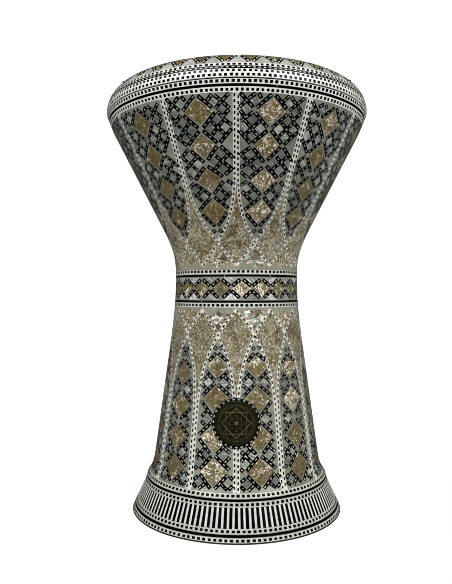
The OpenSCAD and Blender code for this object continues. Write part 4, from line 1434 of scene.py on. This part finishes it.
# ------------------------------------------------------------------ CAD pieces that stay
for node, material in (("shell_casting", PAINT), ("clamp_ring_casting", PAINT),
                       ("flesh_hoop", ALUMINIUM), ("screw_washers", STEEL),
                       *((screw, STEEL) for screw in SCREW_NODES)):
    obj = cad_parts[node]
    obj.data.materials.clear()
    obj.data.materials.append(material)
    if node in SCREW_NODES:
        bevel = obj.modifiers.new("soft_edges", "BEVEL")
        bevel.width, bevel.segments = 0.25 * MM, 2
        bevel.limit_method, bevel.angle_limit = "ANGLE", math.radians(40)


# ------------------------------------------------------------------ floor, light and camera
def grey(value):
    return (value, value, value, 1)


def floor_paper():
    """White paper to the camera, darker to other rays, so little light bounces up."""
    m = Material("floor_paper")
    camera = m.value("LightPath", out="Is Camera Ray")
    glossy = Value(m, camera.socket.node.outputs["Is Glossy Ray"])
    place = m.value("TexCoord", out="Object")
    color = m.ramp(m.noise(place, scale=3.0, detail=2.0), [(0.3, grey(0.94)), (0.7, grey(0.97))])
    color = m.mix(grey(0.26), color, amount=camera)
    color = m.mix(color, grey(0.03), amount=glossy)
    m.surface(Base_Color=color, Roughness=0.9, Specular_IOR_Level=0.0)
    # away from the drum the paper runs out into the backdrop's white
    far = m.step(m.length(place), low=0.06, high=0.30)
    glow = m.value("Emission", {"Color": grey(1), "Strength": 1.02})
    share = m.math("MAXIMUM", far, 0.88) * camera
    both = m.value("MixShader", {0: share, 1: Value(m, m.shader.outputs[0]), 2: glow})
    m.feed(m.output.inputs[0], both)
    return m.material


scene = bpy.context.scene
floor = mesh_object("floor", [(-30, -30, 0), (30, -30, 0), (30, 30, 0), (-30, 30, 0)],
                    [(0, 1, 2, 3)], [floor_paper()])
floor.location = (0, 0, -0.0004)

# strength of the white world for each kind of ray
WORLD_DIFFUSE, WORLD_GLOSSY, WORLD_CAMERA = 0.50, 0.04, 1.06
world = bpy.data.worlds.new("studio")
scene.world = world
world.use_nodes = True
tree = world.node_tree
background = tree.nodes["Background"]
rays = tree.nodes.new("ShaderNodeLightPath")
lighting, seen = (tree.nodes.new("ShaderNodeMix") for _ in range(2))
lighting.data_type = seen.data_type = "FLOAT"
lighting.inputs[2].default_value = WORLD_DIFFUSE
lighting.inputs[3].default_value = WORLD_GLOSSY
seen.inputs[3].default_value = WORLD_CAMERA
tree.links.new(rays.outputs["Is Glossy Ray"], lighting.inputs[0])
tree.links.new(lighting.outputs[0], seen.inputs[2])
tree.links.new(rays.outputs["Is Camera Ray"], seen.inputs[0])
tree.links.new(seen.outputs[0], background.inputs["Strength"])
background.inputs["Color"].default_value = (1, 1, 1, 1)

# name, place and height aimed at (metres), width, height (metres), watts, seen in reflections
LIGHTS = (
    ("key", (-1.15, -1.4, 1.9), 0.25, 1.3, 1.3, 23, True),
    ("fill", (1.35, -1.2, 1.6), 0.22, 1.2, 1.2, 17, True),
    ("edge_right", (2.2, 0.75, 0.7), 0.25, 0.8, 1.2, 14, False),
    ("edge_left", (-2.2, 0.75, 0.7), 0.25, 0.8, 1.2, 4, False),
    ("back", (0.3, 2.3, 1.5), 0.22, 1.6, 1.2, 16, False),
    ("front", (0.0, -2.2, 0.75), 0.25, 1.6, 0.6, 14, False))
for name, place, aim, width, height, power, glossy in LIGHTS:
    light = bpy.data.lights.new(name, "AREA")
    light.shape, light.size, light.size_y, light.energy = "RECTANGLE", width, height, power
    lamp = bpy.data.objects.new(name, light)
    lamp.location = place
    aim_line = Vector((0, 0, aim)) - Vector(place)
    lamp.rotation_euler = aim_line.to_track_quat("-Z", "Y").to_euler()
    lamp.visible_glossy = glossy
    scene.collection.objects.link(lamp)

lens = bpy.data.cameras.new("camera")
lens.lens, lens.sensor_width, lens.sensor_fit = 37.19, 36.0, "AUTO"
lens.clip_start, lens.clip_end = 0.01, 200
camera = bpy.data.objects.new("camera", lens)
camera.location = (0.0, -0.673, 0.2345)
camera.rotation_euler = (math.pi / 2, 0.0, 0.0171)
scene.collection.objects.link(camera)
scene.camera = camera
scene.view_settings.view_transform = "Standard"
scene.view_settings.look = "None"
scene.view_settings.exposure = 0.0
scene.view_settings.gamma = 1.0
scene.cycles.filter_width = 0.9
